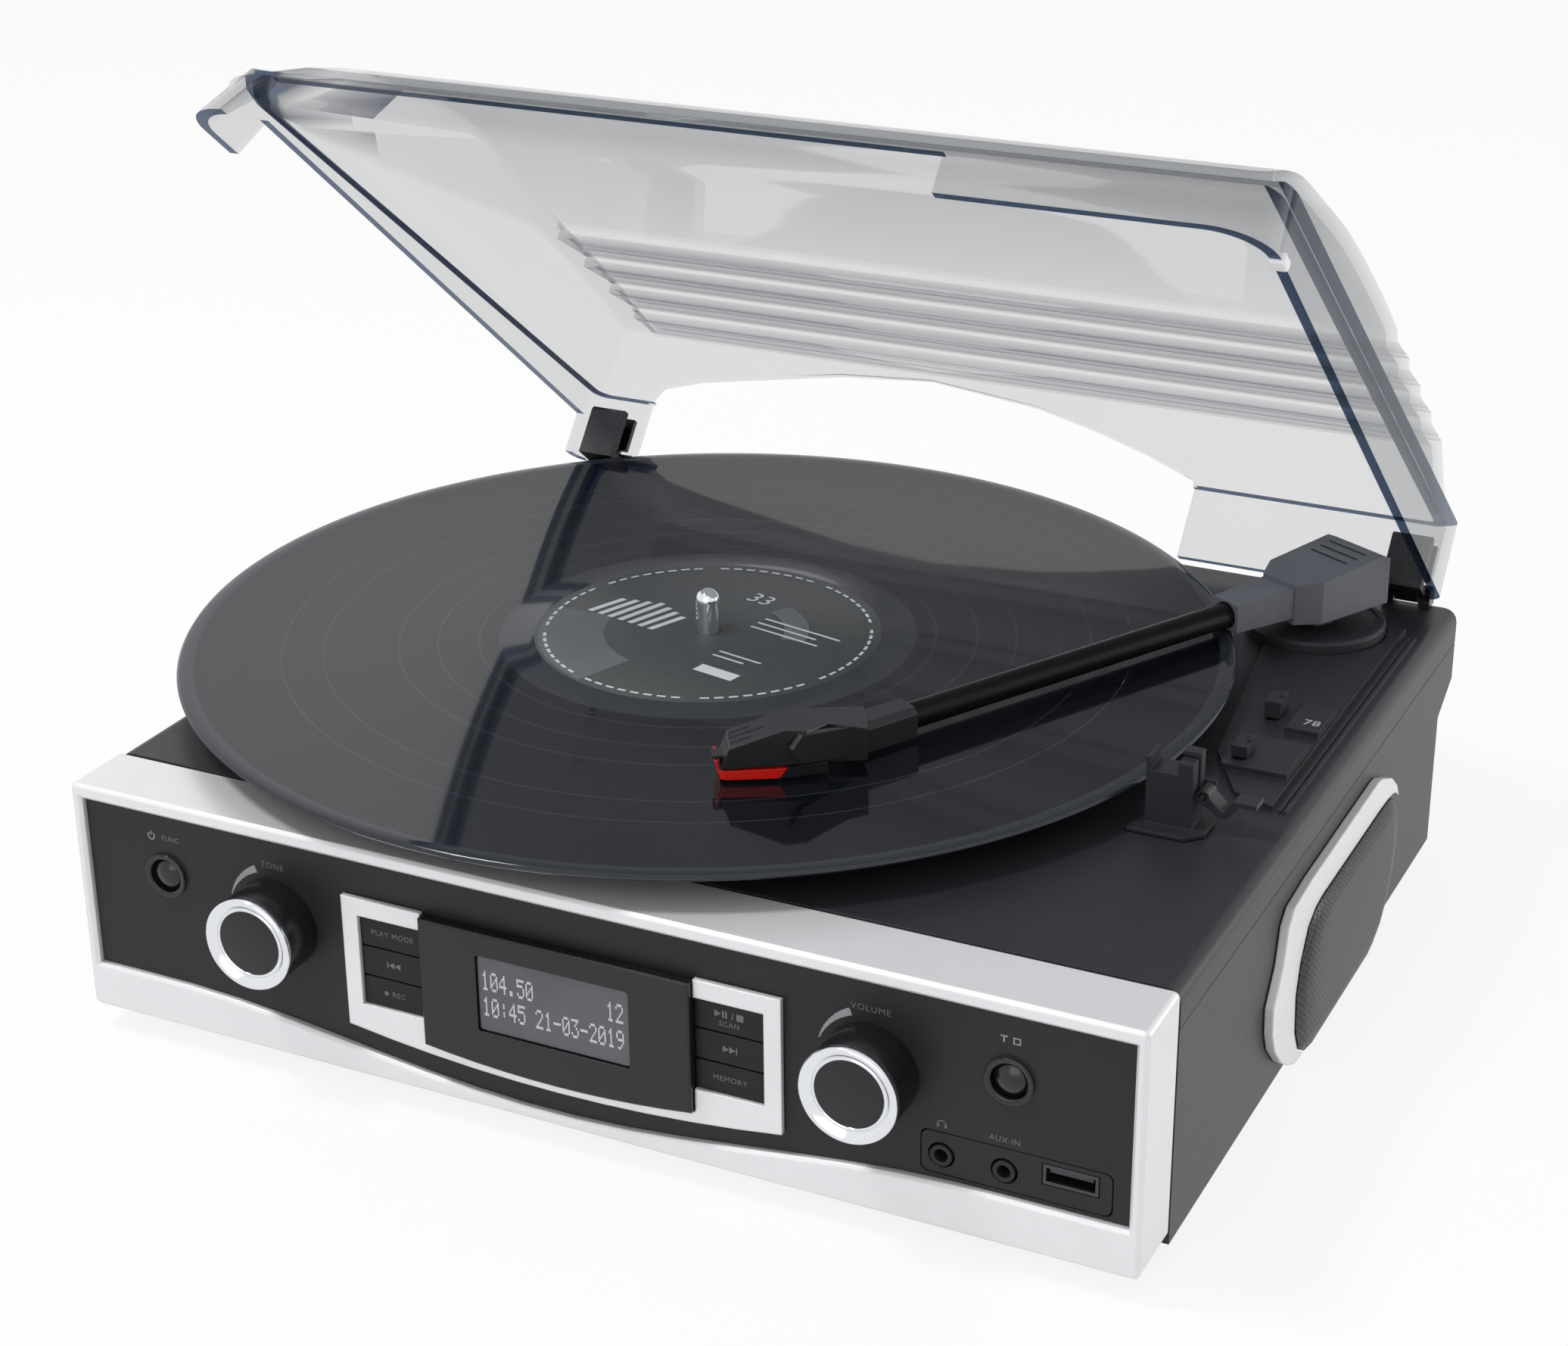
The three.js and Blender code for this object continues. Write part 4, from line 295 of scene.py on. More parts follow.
# Painted reflection: the darker tint the cover takes where it is seen in a reflection, so that its reflection
# in the record looks darker
PAINTED_REFLECTION_TINT = tone(118, 120, 124)
# Painted shade: the dark blue-grey painted on the cover's rim, cut edges and ledge
EDGE_SHADE_TINT = tone(24, 36, 58)
SMOKE_TINT = tone(118, 130, 144)
SMOKE_DENSITY = 17.0
SHADOW_TINT = tone(196, 199, 203)
# How far above the rim the painted edge shade reaches, and the facing shares over which it fades in
EDGE_SHADE_REACH = 25.5
EDGE_SHADE_FACING_SHARES = (0.93, 0.97)
LOUVRE_FIRST = 94.5
LOUVRE_PITCH = 20.3
LOUVRE_COUNT = 4
LOUVRE_LEFT = -112.9
LOUVRE_HEIGHT = 36.0
LOUVRE_FACING_SHARE = 0.6
# Painted light and shade across one louvre, standing in for how its rounded face catches light: the share of
# the way from its front edge back, and the level
LOUVRE_PAINTED_LEVELS = (
    (0.0, 250), (0.035, 222), (0.4, 200), (0.72, 158), (0.77, 222), (0.88, 200), (0.945, 196), (0.96, 112))


def cover_edge_shade(tree, place):
    """1 on the cover's rim, on its cut edges and under its ledge, where light runs along the plastic: there
    the cover's colour gets its painted shade.
    """
    facing = along(tree, place.outputs["Normal"], -COVER_UP)
    height = along(tree, place.outputs["Object"], COVER_UP)
    low = counted(tree, "LESS_THAN", height, COVER_RIM + EDGE_SHADE_REACH * MM)
    return product(tree, spread(tree, facing, 0.0, 1.0, *EDGE_SHADE_FACING_SHARES), low)


def louvres(tree, place):
    """The painted light and shade that each rounded louvre of the cover has across it, and where it lies."""
    reach = along(tree, place.outputs["Object"], COVER_ALONG)
    front = HINGE_AXIS.dot(COVER_ALONG) + LOUVRE_FIRST * MM
    back = front - LOUVRE_COUNT * LOUVRE_PITCH * MM
    count = counted(tree, "DIVIDE", counted(tree, "SUBTRACT", front, reach), LOUVRE_PITCH * MM)
    shade = add(tree, "ShaderNodeValToRGB")
    ramp = shade.color_ramp
    ends = (LOUVRE_PAINTED_LEVELS[0], LOUVRE_PAINTED_LEVELS[-1])
    for element, (position, level) in zip(ramp.elements, ends):
        element.position = position
        element.color = tone(level, level, level)
    for position, level in LOUVRE_PAINTED_LEVELS[1:-1]:
        ramp.elements.new(position).color = tone(level, level + 1, level + 3)
    tree.links.new(counted(tree, "FRACT", count), shade.inputs["Fac"])
    height = along(tree, place.outputs["Object"], COVER_UP)
    across = along(tree, place.outputs["Object"], Vector((1, 0, 0)))
    upward = counted(tree, "ABSOLUTE", along(tree, place.outputs["Normal"], COVER_UP))
    lies_there = product(
        tree, counted(tree, "GREATER_THAN", height, COVER_RIM + LOUVRE_HEIGHT * MM),
        counted(tree, "LESS_THAN", reach, front), counted(tree, "GREATER_THAN", reach, back),
        counted(tree, "GREATER_THAN", across, LOUVRE_LEFT * MM),
        counted(tree, "GREATER_THAN", upward, LOUVRE_FACING_SHARE))
    return shade.outputs["Color"], lies_there


def smoked():
    """Clear plastic with a light smoke tint and painted shade: dark blue-grey along its edges, painted light
    and shade across its louvres, and a darker painted tint where it is seen in a reflection.
    """
    material, tree, shader = start("cover", {
        "Transmission Weight": 1.0, "Roughness": 0.05, "IOR": 1.0, "Coat Weight": 1.0, "Coat Roughness": 0.04,
        "Coat IOR": 1.12})
    place = add(tree, "ShaderNodeTexCoord")
    light = add(tree, "ShaderNodeLightPath")
    faces = patches(tree, place.outputs["Object"], FACE_TINT, scale=9.0, amount=0.015)
    # Painted light and shade across the louvres
    shade, on_louvre = louvres(tree, place)
    faces = blend(tree, on_louvre, faces, shade)
    # Painted reflection: in reflections the cover takes the darker tint
    faces = blend(tree, light.outputs["Is Reflection Ray"], faces, PAINTED_REFLECTION_TINT)
    # Painted shade: the edges turn dark blue-grey over the face colour
    color = blend(tree, cover_edge_shade(tree, place), faces, EDGE_SHADE_TINT)
    tree.links.new(color, shader.inputs["Base Color"])
    ripple = add(tree, "ShaderNodeTexNoise", {"Scale": 22.0, "Detail": 1.0})
    tree.links.new(place.outputs["Object"], ripple.inputs["Vector"])
    bumped(tree, shader, ripple.outputs["Fac"], strength=0.05, distance=0.3)
    depth = add(tree, "ShaderNodeVolumeAbsorption", {"Color": SMOKE_TINT, "Density": SMOKE_DENSITY})
    clear = add(tree, "ShaderNodeBsdfTransparent", {"Color": SHADOW_TINT})
    output = tree.nodes["Material Output"]
    chosen(tree, light.outputs["Is Shadow Ray"], shader.outputs["BSDF"], clear.outputs["BSDF"], output)
    tree.links.new(depth.outputs["Volume"], output.inputs["Volume"])
    return material


# The grilles' holes
HOLE_PITCH = 1.5
HOLE_SHARE = 0.34
HOLE_SOFT_SHARE = 0.06
HOLE_TONE = tone(6, 6, 7)
SHEET_TONE = tone(46, 47, 50)


def perforated():
    """Dark steel sheet with small round holes in slanting rows."""
    material, tree, shader = start("grille", {"Metallic": 0.3, "Roughness": 0.42, "Specular IOR Level": 0.4})
    place = add(tree, "ShaderNodeTexCoord").outputs["Object"]
    split = add(tree, "ShaderNodeSeparateXYZ")
    side = add(tree, "ShaderNodeCombineXYZ")
    turn = add(tree, "ShaderNodeMapping")
    turn.inputs["Rotation"].default_value = (0.0, 0.0, math.radians(45))
    turn.inputs["Scale"].default_value = (1 / (HOLE_PITCH * MM),) * 3
    holes = add(tree, "ShaderNodeTexVoronoi", {"Scale": 1.0, "Randomness": 0.0}, voronoi_dimensions="2D")
    tree.links.new(place, split.inputs["Vector"])
    tree.links.new(split.outputs["Y"], side.inputs["X"])
    tree.links.new(split.outputs["Z"], side.inputs["Y"])
    tree.links.new(side.outputs["Vector"], turn.inputs["Vector"])
    tree.links.new(turn.outputs["Vector"], holes.inputs["Vector"])
    inner, outer = HOLE_SHARE - HOLE_SOFT_SHARE, HOLE_SHARE + HOLE_SOFT_SHARE
    sheet = spread(tree, holes.outputs["Distance"], 0.0, 1.0, inner, outer)
    tree.links.new(blend(tree, sheet, HOLE_TONE, SHEET_TONE), shader.inputs["Base Color"])
    bumped(tree, shader, sheet, strength=0.7, distance=0.25)
    return material


# Settings that several finishes share
MOULDED = {"grain": 2200.0, "strength": 0.12}
POLISHED = {"amount": 0.04, "grain": 2600.0, "wander": 0.02}
COARSE = {"strength": 0.2, "grain": 1900.0}
PLATED = {"amount": 0.06, "grain": 800.0}
FINISHES = {
    "body": finish("body_plastic", tone(40, 41, 45), 0.42, specular=0.3, **COARSE),
    "head": finish("head_plastic", tone(92, 94, 101), 0.45, specular=0.4, **COARSE),
    "key": finish("key_plastic", tone(24, 24, 26), 0.4, specular=0.25, **MOULDED),
    # Painted highlight: the white of the small block on the cover's rim
    "painted_rim_highlight": finish("rim_highlight_white", tone(236, 237, 238), 0.5, specular=0.3, amount=0.02, strength=0.1),
    "silver": finish(
        "silver_paint", tone(228, 229, 231), 0.34, metallic=0.32, amount=0.02, grain=2600.0, strength=0.12,
        edge=0.7),
    "panel": finish("panel_plastic", tone(36, 36, 38), 0.42, specular=0.25, **MOULDED),
    "gloss": finish(
        "gloss_plastic", tone(24, 25, 28), 0.26, specular=0.4, amount=0.05, grain=2600.0, strength=0.02,
        wander=0.02),
    "cap": finish("cap_plastic", tone(20, 21, 24), 0.16, strength=0.01, **POLISHED),
    "shell": finish("shell_plastic", tone(25, 26, 30), 0.3, specular=0.6, strength=0.02, **POLISHED),
    "tube": finish("tube_plastic", tone(15, 16, 18), 0.34, specular=0.12, strength=0.02, **POLISHED),
    "port": finish("port_metal", tone(74, 75, 78), 0.4, metallic=0.9, **PLATED),
    "chrome": finish(
        "chrome", tone(226, 228, 232), 0.09, metallic=1.0, amount=0.02, strength=0.03, wander=0.03),
    "screen": finish(
        "screen_glass", tone(88, 88, 94), 0.2, specular=0.4, amount=0.16, patch=28.0, strength=0.0),
    "grille": perforated(),
    "rubber": finish("rubber", tone(26, 26, 27), 0.8, specular=0.2, strength=0.5, grain=900.0),
    "vinyl": vinyl(),
    "steel": finish("steel", tone(168, 170, 173), 0.3, metallic=0.95, **PLATED),
    "board": finish("circuit_board", tone(31, 74, 51), 0.45, amount=0.2, patch=220.0),
    "cover": smoked(),
    "red": finish("red_plastic", tone(214, 26, 12), 0.3, specular=0.45, amount=0.06, strength=0.08),
    "paper": finish(
        "label_paper", tone(66, 69, 70), 0.55, specular=0.3, amount=0.06, patch=160.0, strength=0.15),
}
PRINTS = {
    # Painted shade: the dark of the finger grooves, drawn as flat bars
    "groove_shade_paint": finish("groove_shade_paint", tone(16, 17, 20), 0.6, amount=0.08, edge=0.0),
    "print_light": finish("print_light", tone(206, 208, 210), 0.5, amount=0.05, edge=0.0),
    "print_grey": finish("print_grey", tone(150, 152, 155), 0.55, amount=0.08, edge=0.0),
    "print_dim": finish("print_dim", tone(98, 100, 103), 0.55, amount=0.08, edge=0.0),
    "print_slate": finish("print_slate", tone(92, 96, 98), 0.55, amount=0.08, edge=0.0),
    "pixels": finish("pixels", tone(202, 203, 207), 0.5, amount=0.08, patch=400.0, edge=0.0),
}

# The finish of each CAD node that stays in view
FINISH_OF = {
    "body": (
        "base_tray", "top_deck", "arm_base", "arm_rest", "arm_clip", "arm_yoke", "rear_socket_plate",
        "speed_selector", "autostop_switch"),
    "head": ("arm_head",),
    "shell": ("headshell",),
    "tube": ("arm_tube",),
    "port": ("usb_socket",),
    "silver": ("front_frame", "display_bracket", "speaker_trim_left", "speaker_trim_right"),
    "panel": ("front_panel", "jack_plate", "headphone_socket", "aux_socket"),
    "key": (
        "key_left_top", "key_left_middle", "key_left_bottom", "key_right_top", "key_right_middle",
        "key_right_bottom"),
    "gloss": (
        "display_bezel", "cartridge", "power_button", "mode_button", "tone_knob", "volume_knob",
        "hinge_base_left", "hinge_base_right", "hinge_clip_left", "hinge_clip_right"),
    "chrome": ("tone_knob_ring", "volume_knob_ring", "spindle"),
    "screen": ("display_screen",),
    "grille": ("speaker_grille_left", "speaker_grille_right"),
    "rubber": (
        "foot_front_left", "foot_front_right", "foot_rear_left", "foot_rear_right", "slip_mat", "drive_belt",
        "speaker_driver_left", "speaker_driver_right"),
    "steel": ("platter_bearing", "platter", "drive_motor", "motor_pulley"),
    "board": ("control_board", "main_board"),
    "vinyl": ("record",),
    "cover": ("dust_cover",),
    "red": ("stylus",),
}


CAD_SHARP = 32
WELD_REACH = 0.002


def dress(obj, material):
    """Gives a CAD node its material and smooth shading that keeps its edges."""
    mesh = obj.data
    if "custom_normal" in mesh.attributes:
        mesh.attributes.remove(mesh.attributes["custom_normal"])
    for face in mesh.polygons:
        face.use_smooth = True
    mesh.materials.clear()
    mesh.materials.append(material)
    weld = obj.modifiers.new("weld", "WELD")
    weld.merge_threshold = WELD_REACH * MM
    split = obj.modifiers.new("edges", "EDGE_SPLIT")
    split.split_angle = math.radians(CAD_SHARP)
    even = obj.modifiers.new("shading", "WEIGHTED_NORMAL")
    even.keep_sharp = True


for slot_name, members in FINISH_OF.items():
    for member in members:
        dress(NODES[member], FINISHES[slot_name])


# Mesh pieces
def piece(name, mesh, material, body, sharp=38, place=FLAT):
    """Puts a finished mesh into the scene as a piece that rides on a body. Sharp is in degrees."""
    for face in mesh.polygons:
        face.use_smooth = True
    mesh.set_sharp_from_angle(angle=math.radians(sharp))
    mesh.materials.clear()
    mesh.materials.append(material)
    obj = bpy.data.objects.new(name, mesh)
    bpy.context.scene.collection.objects.link(obj)
    obj.matrix_world = place
    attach(obj, body)
    return obj


def meshed(name, made):
    """The mesh of what was built."""
    mesh = bpy.data.meshes.new(name)
    made.to_mesh(mesh)
    made.free()
    return mesh


def lathe(name, profile, sides, centre, material, body, turn=FLAT, sharp=38):
    """A turned piece. The profile lists (radius, height) in millimetres from the bottom of the axis round to
    the top. Its own origin stays on the axis, so a finish can follow the turning."""
    made = bmesh.new()
    rings = []
    for radius, height in profile:
        if radius == 0:
            rings.append([made.verts.new((0, 0, height * MM))])
            continue
        ring = []
        for step in range(sides):
            angle = 2 * math.pi * step / sides
            reach = radius * MM
            ring.append(made.verts.new((reach * math.cos(angle), reach * math.sin(angle), height * MM)))
        rings.append(ring)
    for low, high in zip(rings, rings[1:]):
        for step in range(sides):
            after = (step + 1) % sides
            if len(low) == 1:
                made.faces.new((low[0], high[after], high[step]))
            elif len(high) == 1:
                made.faces.new((low[step], low[after], high[0]))
            else:
                made.faces.new((low[step], low[after], high[after], high[step]))
    bmesh.ops.recalc_face_normals(made, faces=made.faces)
    return piece(name, meshed(name, made), material, body, sharp, Matrix.Translation(centre) @ turn)


def closed(profile):
    """The profile of a ring, whose last point joins its first."""
    return [*profile, profile[0]]


# The record, whose heights are counted down from its top
VINYL_THICK = (RECORD_HIGH.z - RECORD_LOW.z) / MM
RADIUS = RECORD_RADIUS / MM
HOLE = 3.6
LABEL_RADIUS = 50.0
LABEL_STEP = 0.6
LABEL_SLOPE = 1.0
RIM_WIDTH = 3.6
BEAD_WIDTH = 1.1
BEAD_SINK = 0.02
EDGE = 0.5
GROOVE_SINK = 0.16
RECORD_SIDES = 320
record_centre = Vector((middle("record").x, middle("record").y, RECORD_TOP))
label_step = LABEL_RADIUS + LABEL_STEP
top_profile = [
    (HOLE, 0), (label_step, 0), (label_step + LABEL_SLOPE, -GROOVE_SINK), (LEAD_OUT, -GROOVE_SINK),
    (LEAD_IN, -GROOVE_SINK), (RADIUS - RIM_WIDTH, 0), (RADIUS - BEAD_WIDTH, -BEAD_SINK),
    (RADIUS - EDGE, -EDGE / 2), (RADIUS, -VINYL_THICK / 2)]
bottom_profile = [
    (RADIUS - EDGE, EDGE / 2 - VINYL_THICK), (RADIUS - RIM_WIDTH, -VINYL_THICK), (LABEL_RADIUS, -VINYL_THICK),
    (HOLE, -VINYL_THICK)]
record = lathe(
    "record_disc", closed(top_profile + bottom_profile), RECORD_SIDES, record_centre, FINISHES["vinyl"],
    "turntable", sharp=60)
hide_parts("record")

# The label: a generic design of bars and arcs
PRINT_LIFT = 0.04
LABEL_LIFT = 0.06
LABEL_EDGE = 0.15
LABEL_SIDES = 160
SAME_POINT = 0.001
CAPITAL_SHARE = 0.69


def around(radius, angle, at=(0, 0)):
    """The point at this radius and angle, in radians, round another."""
    return at[0] + radius * math.cos(angle), at[1] + radius * math.sin(angle)


def ring_shape(inner, outer, start_angle=0.0, end_angle=360.0, steps=72, at=(0, 0)):
    """Four-cornered strips that fill part of a ring, in millimetres and degrees."""
    shapes = []
    for step in range(steps):
        first = math.radians(start_angle + (end_angle - start_angle) * step / steps)
        last = math.radians(start_angle + (end_angle - start_angle) * (step + 1) / steps)
        corners = ((inner, first), (outer, first), (outer, last), (inner, last))
        shapes.append([around(radius, angle, at) for radius, angle in corners])
    return shapes


def bar(left, low, width, height, slant=0.0):
    """A flat bar as one four-cornered shape."""
    right, high = left + width, low + height
    return [(left, low), (right, low), (right + slant, high), (left + slant, high)]


def disc(radius, at=(0, 0), steps=24):
    """A filled circle as one shape."""
    return [around(radius, 2 * math.pi * step / steps, at) for step in range(steps)]


def printed(name, shapes, place, material, body):
    """Flat marks, given in millimetres, lying on a surface. Place turns and moves them into the frame."""
    made = bmesh.new()
    for shape in shapes:
        corners = [made.verts.new((x * MM, y * MM, 0)) for x, y in shape]
        made.faces.new(corners)
    bmesh.ops.remove_doubles(made, verts=made.verts, dist=SAME_POINT * MM)
    for face in made.faces:
        if face.normal.z < 0:
            face.normal_flip()
    made.normal_update()
    mesh = meshed(name, made)
    mesh.transform(place)
    return piece(name, mesh, material, body)


def lettered(name, words, height, place, material, body, stretch=1.0):
    """Generic words or numbers in a plain face, centred on their place."""
    curve = bpy.data.curves.new(name, "FONT")
    curve.body = words
    curve.align_x, curve.align_y = "CENTER", "CENTER"
    curve.size = height * MM / CAPITAL_SHARE
    curve.resolution_u = 3
    curve.space_character = stretch
    holder = bpy.data.objects.new(name + "_source", curve)
    bpy.context.scene.collection.objects.link(holder)
    graph = bpy.context.evaluated_depsgraph_get()
    mesh = bpy.data.meshes.new_from_object(holder.evaluated_get(graph))
    bpy.data.objects.remove(holder)
    mesh.name = name
    mesh.transform(place)
    return piece(name, mesh, material, body)


def on_label(lift, turn=0.0):
    """The place of a drawing on the record's label."""
    centre = record_centre + Vector((0, 0, lift * MM))
    return Matrix.Translation(centre) @ Matrix.Rotation(math.radians(turn), 4, "Z")


def label_disc():
    """The paper label as a thin ring with a rounded edge."""
    profile = [
        (HOLE, 0), (HOLE, LABEL_LIFT), (LABEL_RADIUS - LABEL_EDGE, LABEL_LIFT),
        (LABEL_RADIUS, LABEL_LIFT / 2), (LABEL_RADIUS, 0)]
    lathe(
        "record_label", closed(profile), LABEL_SIDES, record_centre, FINISHES["paper"], "turntable")


label_disc()
LABEL_TURN = -12
on_paper = on_label(LABEL_LIFT + PRINT_LIFT, LABEL_TURN)
over_paper = on_label(LABEL_LIFT + 2 * PRINT_LIFT, LABEL_TURN)
# Two broad arcs: inner and outer radius, first and last angle, steps
LABEL_ARCS = ((30.0, 49.0, 196, 262, 40), (22.0, 29.0, 20, 74, 30))
crescent = [shape for arc in LABEL_ARCS for shape in ring_shape(*arc)]
printed("label_shade", crescent, on_paper, PRINTS["print_slate"], "turntable")
# A ring of dashes, with every ninth left out
RIM_DASHES = 74
DASH_GROUP = 9
DASH_INNER, DASH_OUTER = 46.6, 47.5
DASH_ANGLE = 3.1
dashes = []
for count in range(RIM_DASHES):
    if count % DASH_GROUP == DASH_GROUP - 1:
        continue
    begin = 360 * count / RIM_DASHES
    dashes += ring_shape(DASH_INNER, DASH_OUTER, begin, begin + DASH_ANGLE, 2)
# Slanting bars, the middle one the longest
WAVES = {
    "count": 7, "left": -38, "pitch": 3.8, "low": -9.5, "width": 2.0, "height": 17.0, "drop": 1.4,
    "slant": 2.4}
waves = []
for count in range(WAVES["count"]):
    height = WAVES["height"] - abs(count - WAVES["count"] // 2) * WAVES["drop"]
    left = WAVES["left"] + WAVES["pitch"] * count
    waves.append(bar(left, WAVES["low"], WAVES["width"], height, WAVES["slant"]))
# Left, low, width and height of the lines and of one block
LABEL_BARS = (
    (8, 16, 27, 0.9), (8, 12.6, 21, 0.9), (8, 9.2, 24, 0.9), (12, -10, 15, 0.8), (12, -13, 11, 0.8),
    (14, -24, 13.5, 4.6))
marks = dashes + waves + [bar(*sides) for sides in LABEL_BARS]
printed("label_marks", marks, over_paper, PRINTS["print_light"], "turntable")
LABEL_NUMBER_AT = Vector((-2, 27, 0)) * MM
LABEL_NUMBER_HEIGHT = 6.0
number_place = over_paper @ Matrix.Translation(LABEL_NUMBER_AT)
lettered(
    "label_speed", "33", LABEL_NUMBER_HEIGHT, number_place, PRINTS["print_light"], "turntable")

# The spindle, with a round top
spindle_low, spindle_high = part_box("spindle")
pin_radius = (spindle_high.x - spindle_low.x) / 2 / MM
pin_height = (spindle_high.z - RECORD_TOP) / MM
pin_foot = -(RECORD_TOP - spindle_low.z) / MM
PIN_DOME = 3.4
PIN_SIDES = 64
DOME_STEPS = 9
pin = [(0, pin_foot), (pin_radius, pin_foot), (pin_radius, pin_height - PIN_DOME)]
for step in range(1, DOME_STEPS):
    angle = math.radians(90 * step / DOME_STEPS)
    pin.append((pin_radius * math.cos(angle), pin_height - PIN_DOME + PIN_DOME * math.sin(angle)))
pin.append((0, pin_height))
pin_centre = Vector((SPINDLE.x, SPINDLE.y, RECORD_TOP))
spindle_pin = lathe("spindle_pin", pin, PIN_SIDES, pin_centre, FINISHES["chrome"], "turntable")
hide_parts("spindle")


# The two large knobs: a black skirt, a chrome ring and a black face that sits back in it
KNOB = {
    "face": 9.1, "face_sink": 1.7, "face_edge": 0.5, "face_rise": 0.12, "skirt_edge": 0.5, "skirt_round": 0.4,
    "shoulder": 0.25, "shoulder_low": 3.0, "shoulder_high": 2.4, "seat": 1.0, "seat_low": 2.0, "stem": 3.0,
    "stem_long": 6}
# The chrome ring's section: how far in from its rim or out from the face, and how far back
RING_RIM = ((0.3, 2.4), (0, 1.9), (0, 0.9), (0.3, 0.25), (0.9, 0), (1.5, 0.2))
RING_INNER = ((0.9, 1.5), (0.7, 1.35), (0.35, 1.25), (0, 1.5))
RING_FOOT = 2.4
KNOB_SIDES = 96


def knob(name, body):
    """A knob with its ring, both facing the front."""
    low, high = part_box(name + "_knob")
    ring_low, ring_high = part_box(name + "_knob_ring")
    centre = Vector((middle(name + "_knob").x, ring_low.y, middle(name + "_knob").z))
    outer = (high.x - low.x) / 2 / MM
    behind = (high.y - ring_low.y) / MM
    stem_end = KNOB["stem_long"] - behind
    ring_radius = (ring_high.x - ring_low.x) / 2 / MM
    skirt = [
        (0, -behind), (KNOB["stem"], -behind), (KNOB["stem"], stem_end),
        (outer - KNOB["skirt_edge"], stem_end), (outer, stem_end + KNOB["skirt_round"]),
        (outer, -KNOB["shoulder_low"]),
        (outer - KNOB["shoulder"], -KNOB["shoulder_high"]), (ring_radius - KNOB["seat"], -KNOB["seat_low"]),
        (KNOB["face"], -KNOB["seat_low"]), (KNOB["face"], -KNOB["face_sink"]),
        (KNOB["face"] - KNOB["face_edge"], KNOB["face_rise"] - KNOB["face_sink"]), (0, -KNOB["face_sink"])]
    body_piece = lathe(
        name + "_knob_body", skirt, KNOB_SIDES, centre, FINISHES["gloss"], body, FRONT)
    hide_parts(name + "_knob")
    ring = [(KNOB["face"], -RING_FOOT)]
    ring += [(ring_radius - inward, -back) for inward, back in RING_RIM]
    ring += [(KNOB["face"] + outward, -back) for outward, back in RING_INNER]
    ring_piece = lathe(
        name + "_knob_trim", closed(ring), KNOB_SIDES, centre, FINISHES["chrome"], body, FRONT,
        sharp=50)
    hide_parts(name + "_knob_ring")


knob("tone", "tone")
knob("volume", "volume")


# The two round buttons: a shallow black dish round a glossy dome
CAP_SIDES = 64
CAP_STEM = 1.6
CAP_THICK = 4.6
# The dome's edge, as how far in and how far back, and its top, as a share of its radius and how far back
CAP_EDGE = ((0, 2.0), (0.25, 1.55), (0.9, 1.2))
CAP_TOP = ((0.62, 0.62), (0.3, 0.16))
DISH_SIDES = 72
DISH = {
    "gap": 0.12, "radius": 6.3, "foot": 0.02, "lip": 0.42, "lip_edge": 0.2, "lip_width": 0.3, "slope": 0.7,
    "slope_drop": 0.05, "inner": 0.4, "inner_rise": 0.1, "inner_edge": 0.05}


def round_button(name, body):
    """A button's dome, which moves, and the dish round it, which stays on the panel."""
    low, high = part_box(name + "_button")
    centre = Vector((middle(name + "_button").x, low.y, middle(name + "_button").z))
    cap_radius = (high.x - low.x) / 2 / MM
    behind = (high.y - low.y) / MM
    cap = [(0, -behind), (CAP_STEM, -behind), (CAP_STEM, -CAP_THICK), (cap_radius, -CAP_THICK)]
    cap += [(cap_radius - inward, -back) for inward, back in CAP_EDGE]
    cap += [(cap_radius * share, -back) for share, back in CAP_TOP]
    cap.append((0, 0))
    cap_piece = lathe(
        name + "_button_dome", cap, CAP_SIDES, centre, FINISHES["cap"], body, FRONT, sharp=60)
    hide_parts(name + "_button")
    foot, lip, rim, inner = DISH["foot"], DISH["lip"], DISH["radius"], cap_radius + DISH["gap"]
    dish = [
        (inner, foot), (rim, foot), (rim, lip - DISH["lip_edge"]), (rim - DISH["lip_width"], lip),
        (rim - DISH["slope"], lip - DISH["slope_drop"]),
        (cap_radius + DISH["inner"], foot + DISH["inner_rise"]), (inner, foot + DISH["inner_edge"])]
    face = Vector((centre.x, PANEL_FACE - BUTTON_RING_PROUD * MM, centre.z))
    lathe(
        name + "_button_dish", closed(dish), DISH_SIDES, face, FINISHES["cap"], "case", FRONT,
        sharp=50)


round_button("power", "power")
round_button("mode", "mode")


# Painted highlight: a small white block on the cover's rim, where the rim shows a white highlight at its
# break
RIM_HIGHLIGHT_AT = Vector((161.0, -59.6, 232.4)) * MM
RIM_HIGHLIGHT_HALVES = (2.0, 2.7, 1.5)
RIM_HIGHLIGHT_EDGE = 0.7


def painted_rim_highlight():
    """A small white block with rounded edges, a painted highlight, that lies on the rim and points along it.
    """
    made = bmesh.new()
    bmesh.ops.create_cube(made, size=2.0)
    bmesh.ops.scale(made, verts=made.verts, vec=[half * MM for half in RIM_HIGHLIGHT_HALVES])
    bmesh.ops.bevel(made, geom=made.edges, offset=RIM_HIGHLIGHT_EDGE * MM, segments=4, profile=0.5, affect="EDGES")
    mesh = meshed("rim_highlight_block", made)
    mesh.transform(Matrix.Translation(RIM_HIGHLIGHT_AT) @ Matrix.Rotation(-COVER_OPEN, 4, "X"))
    piece("rim_highlight_block", mesh, FINISHES["painted_rim_highlight"], "cover", sharp=60)


painted_rim_highlight()


# Marks on the front panel
def on_front(x, z, face=PANEL_FACE, lift=PRINT_LIFT):
    """The place of a drawing on the front, in metres."""
    return Matrix.Translation((x, face - lift * MM, z)) @ FRONT


def triangle(left, middle_height, width, height):
    """A triangle that points right, or left where its width is negative."""
    low, high = middle_height - height / 2, middle_height + height / 2
    return [(left, low), (left + width, middle_height), (left, high)]


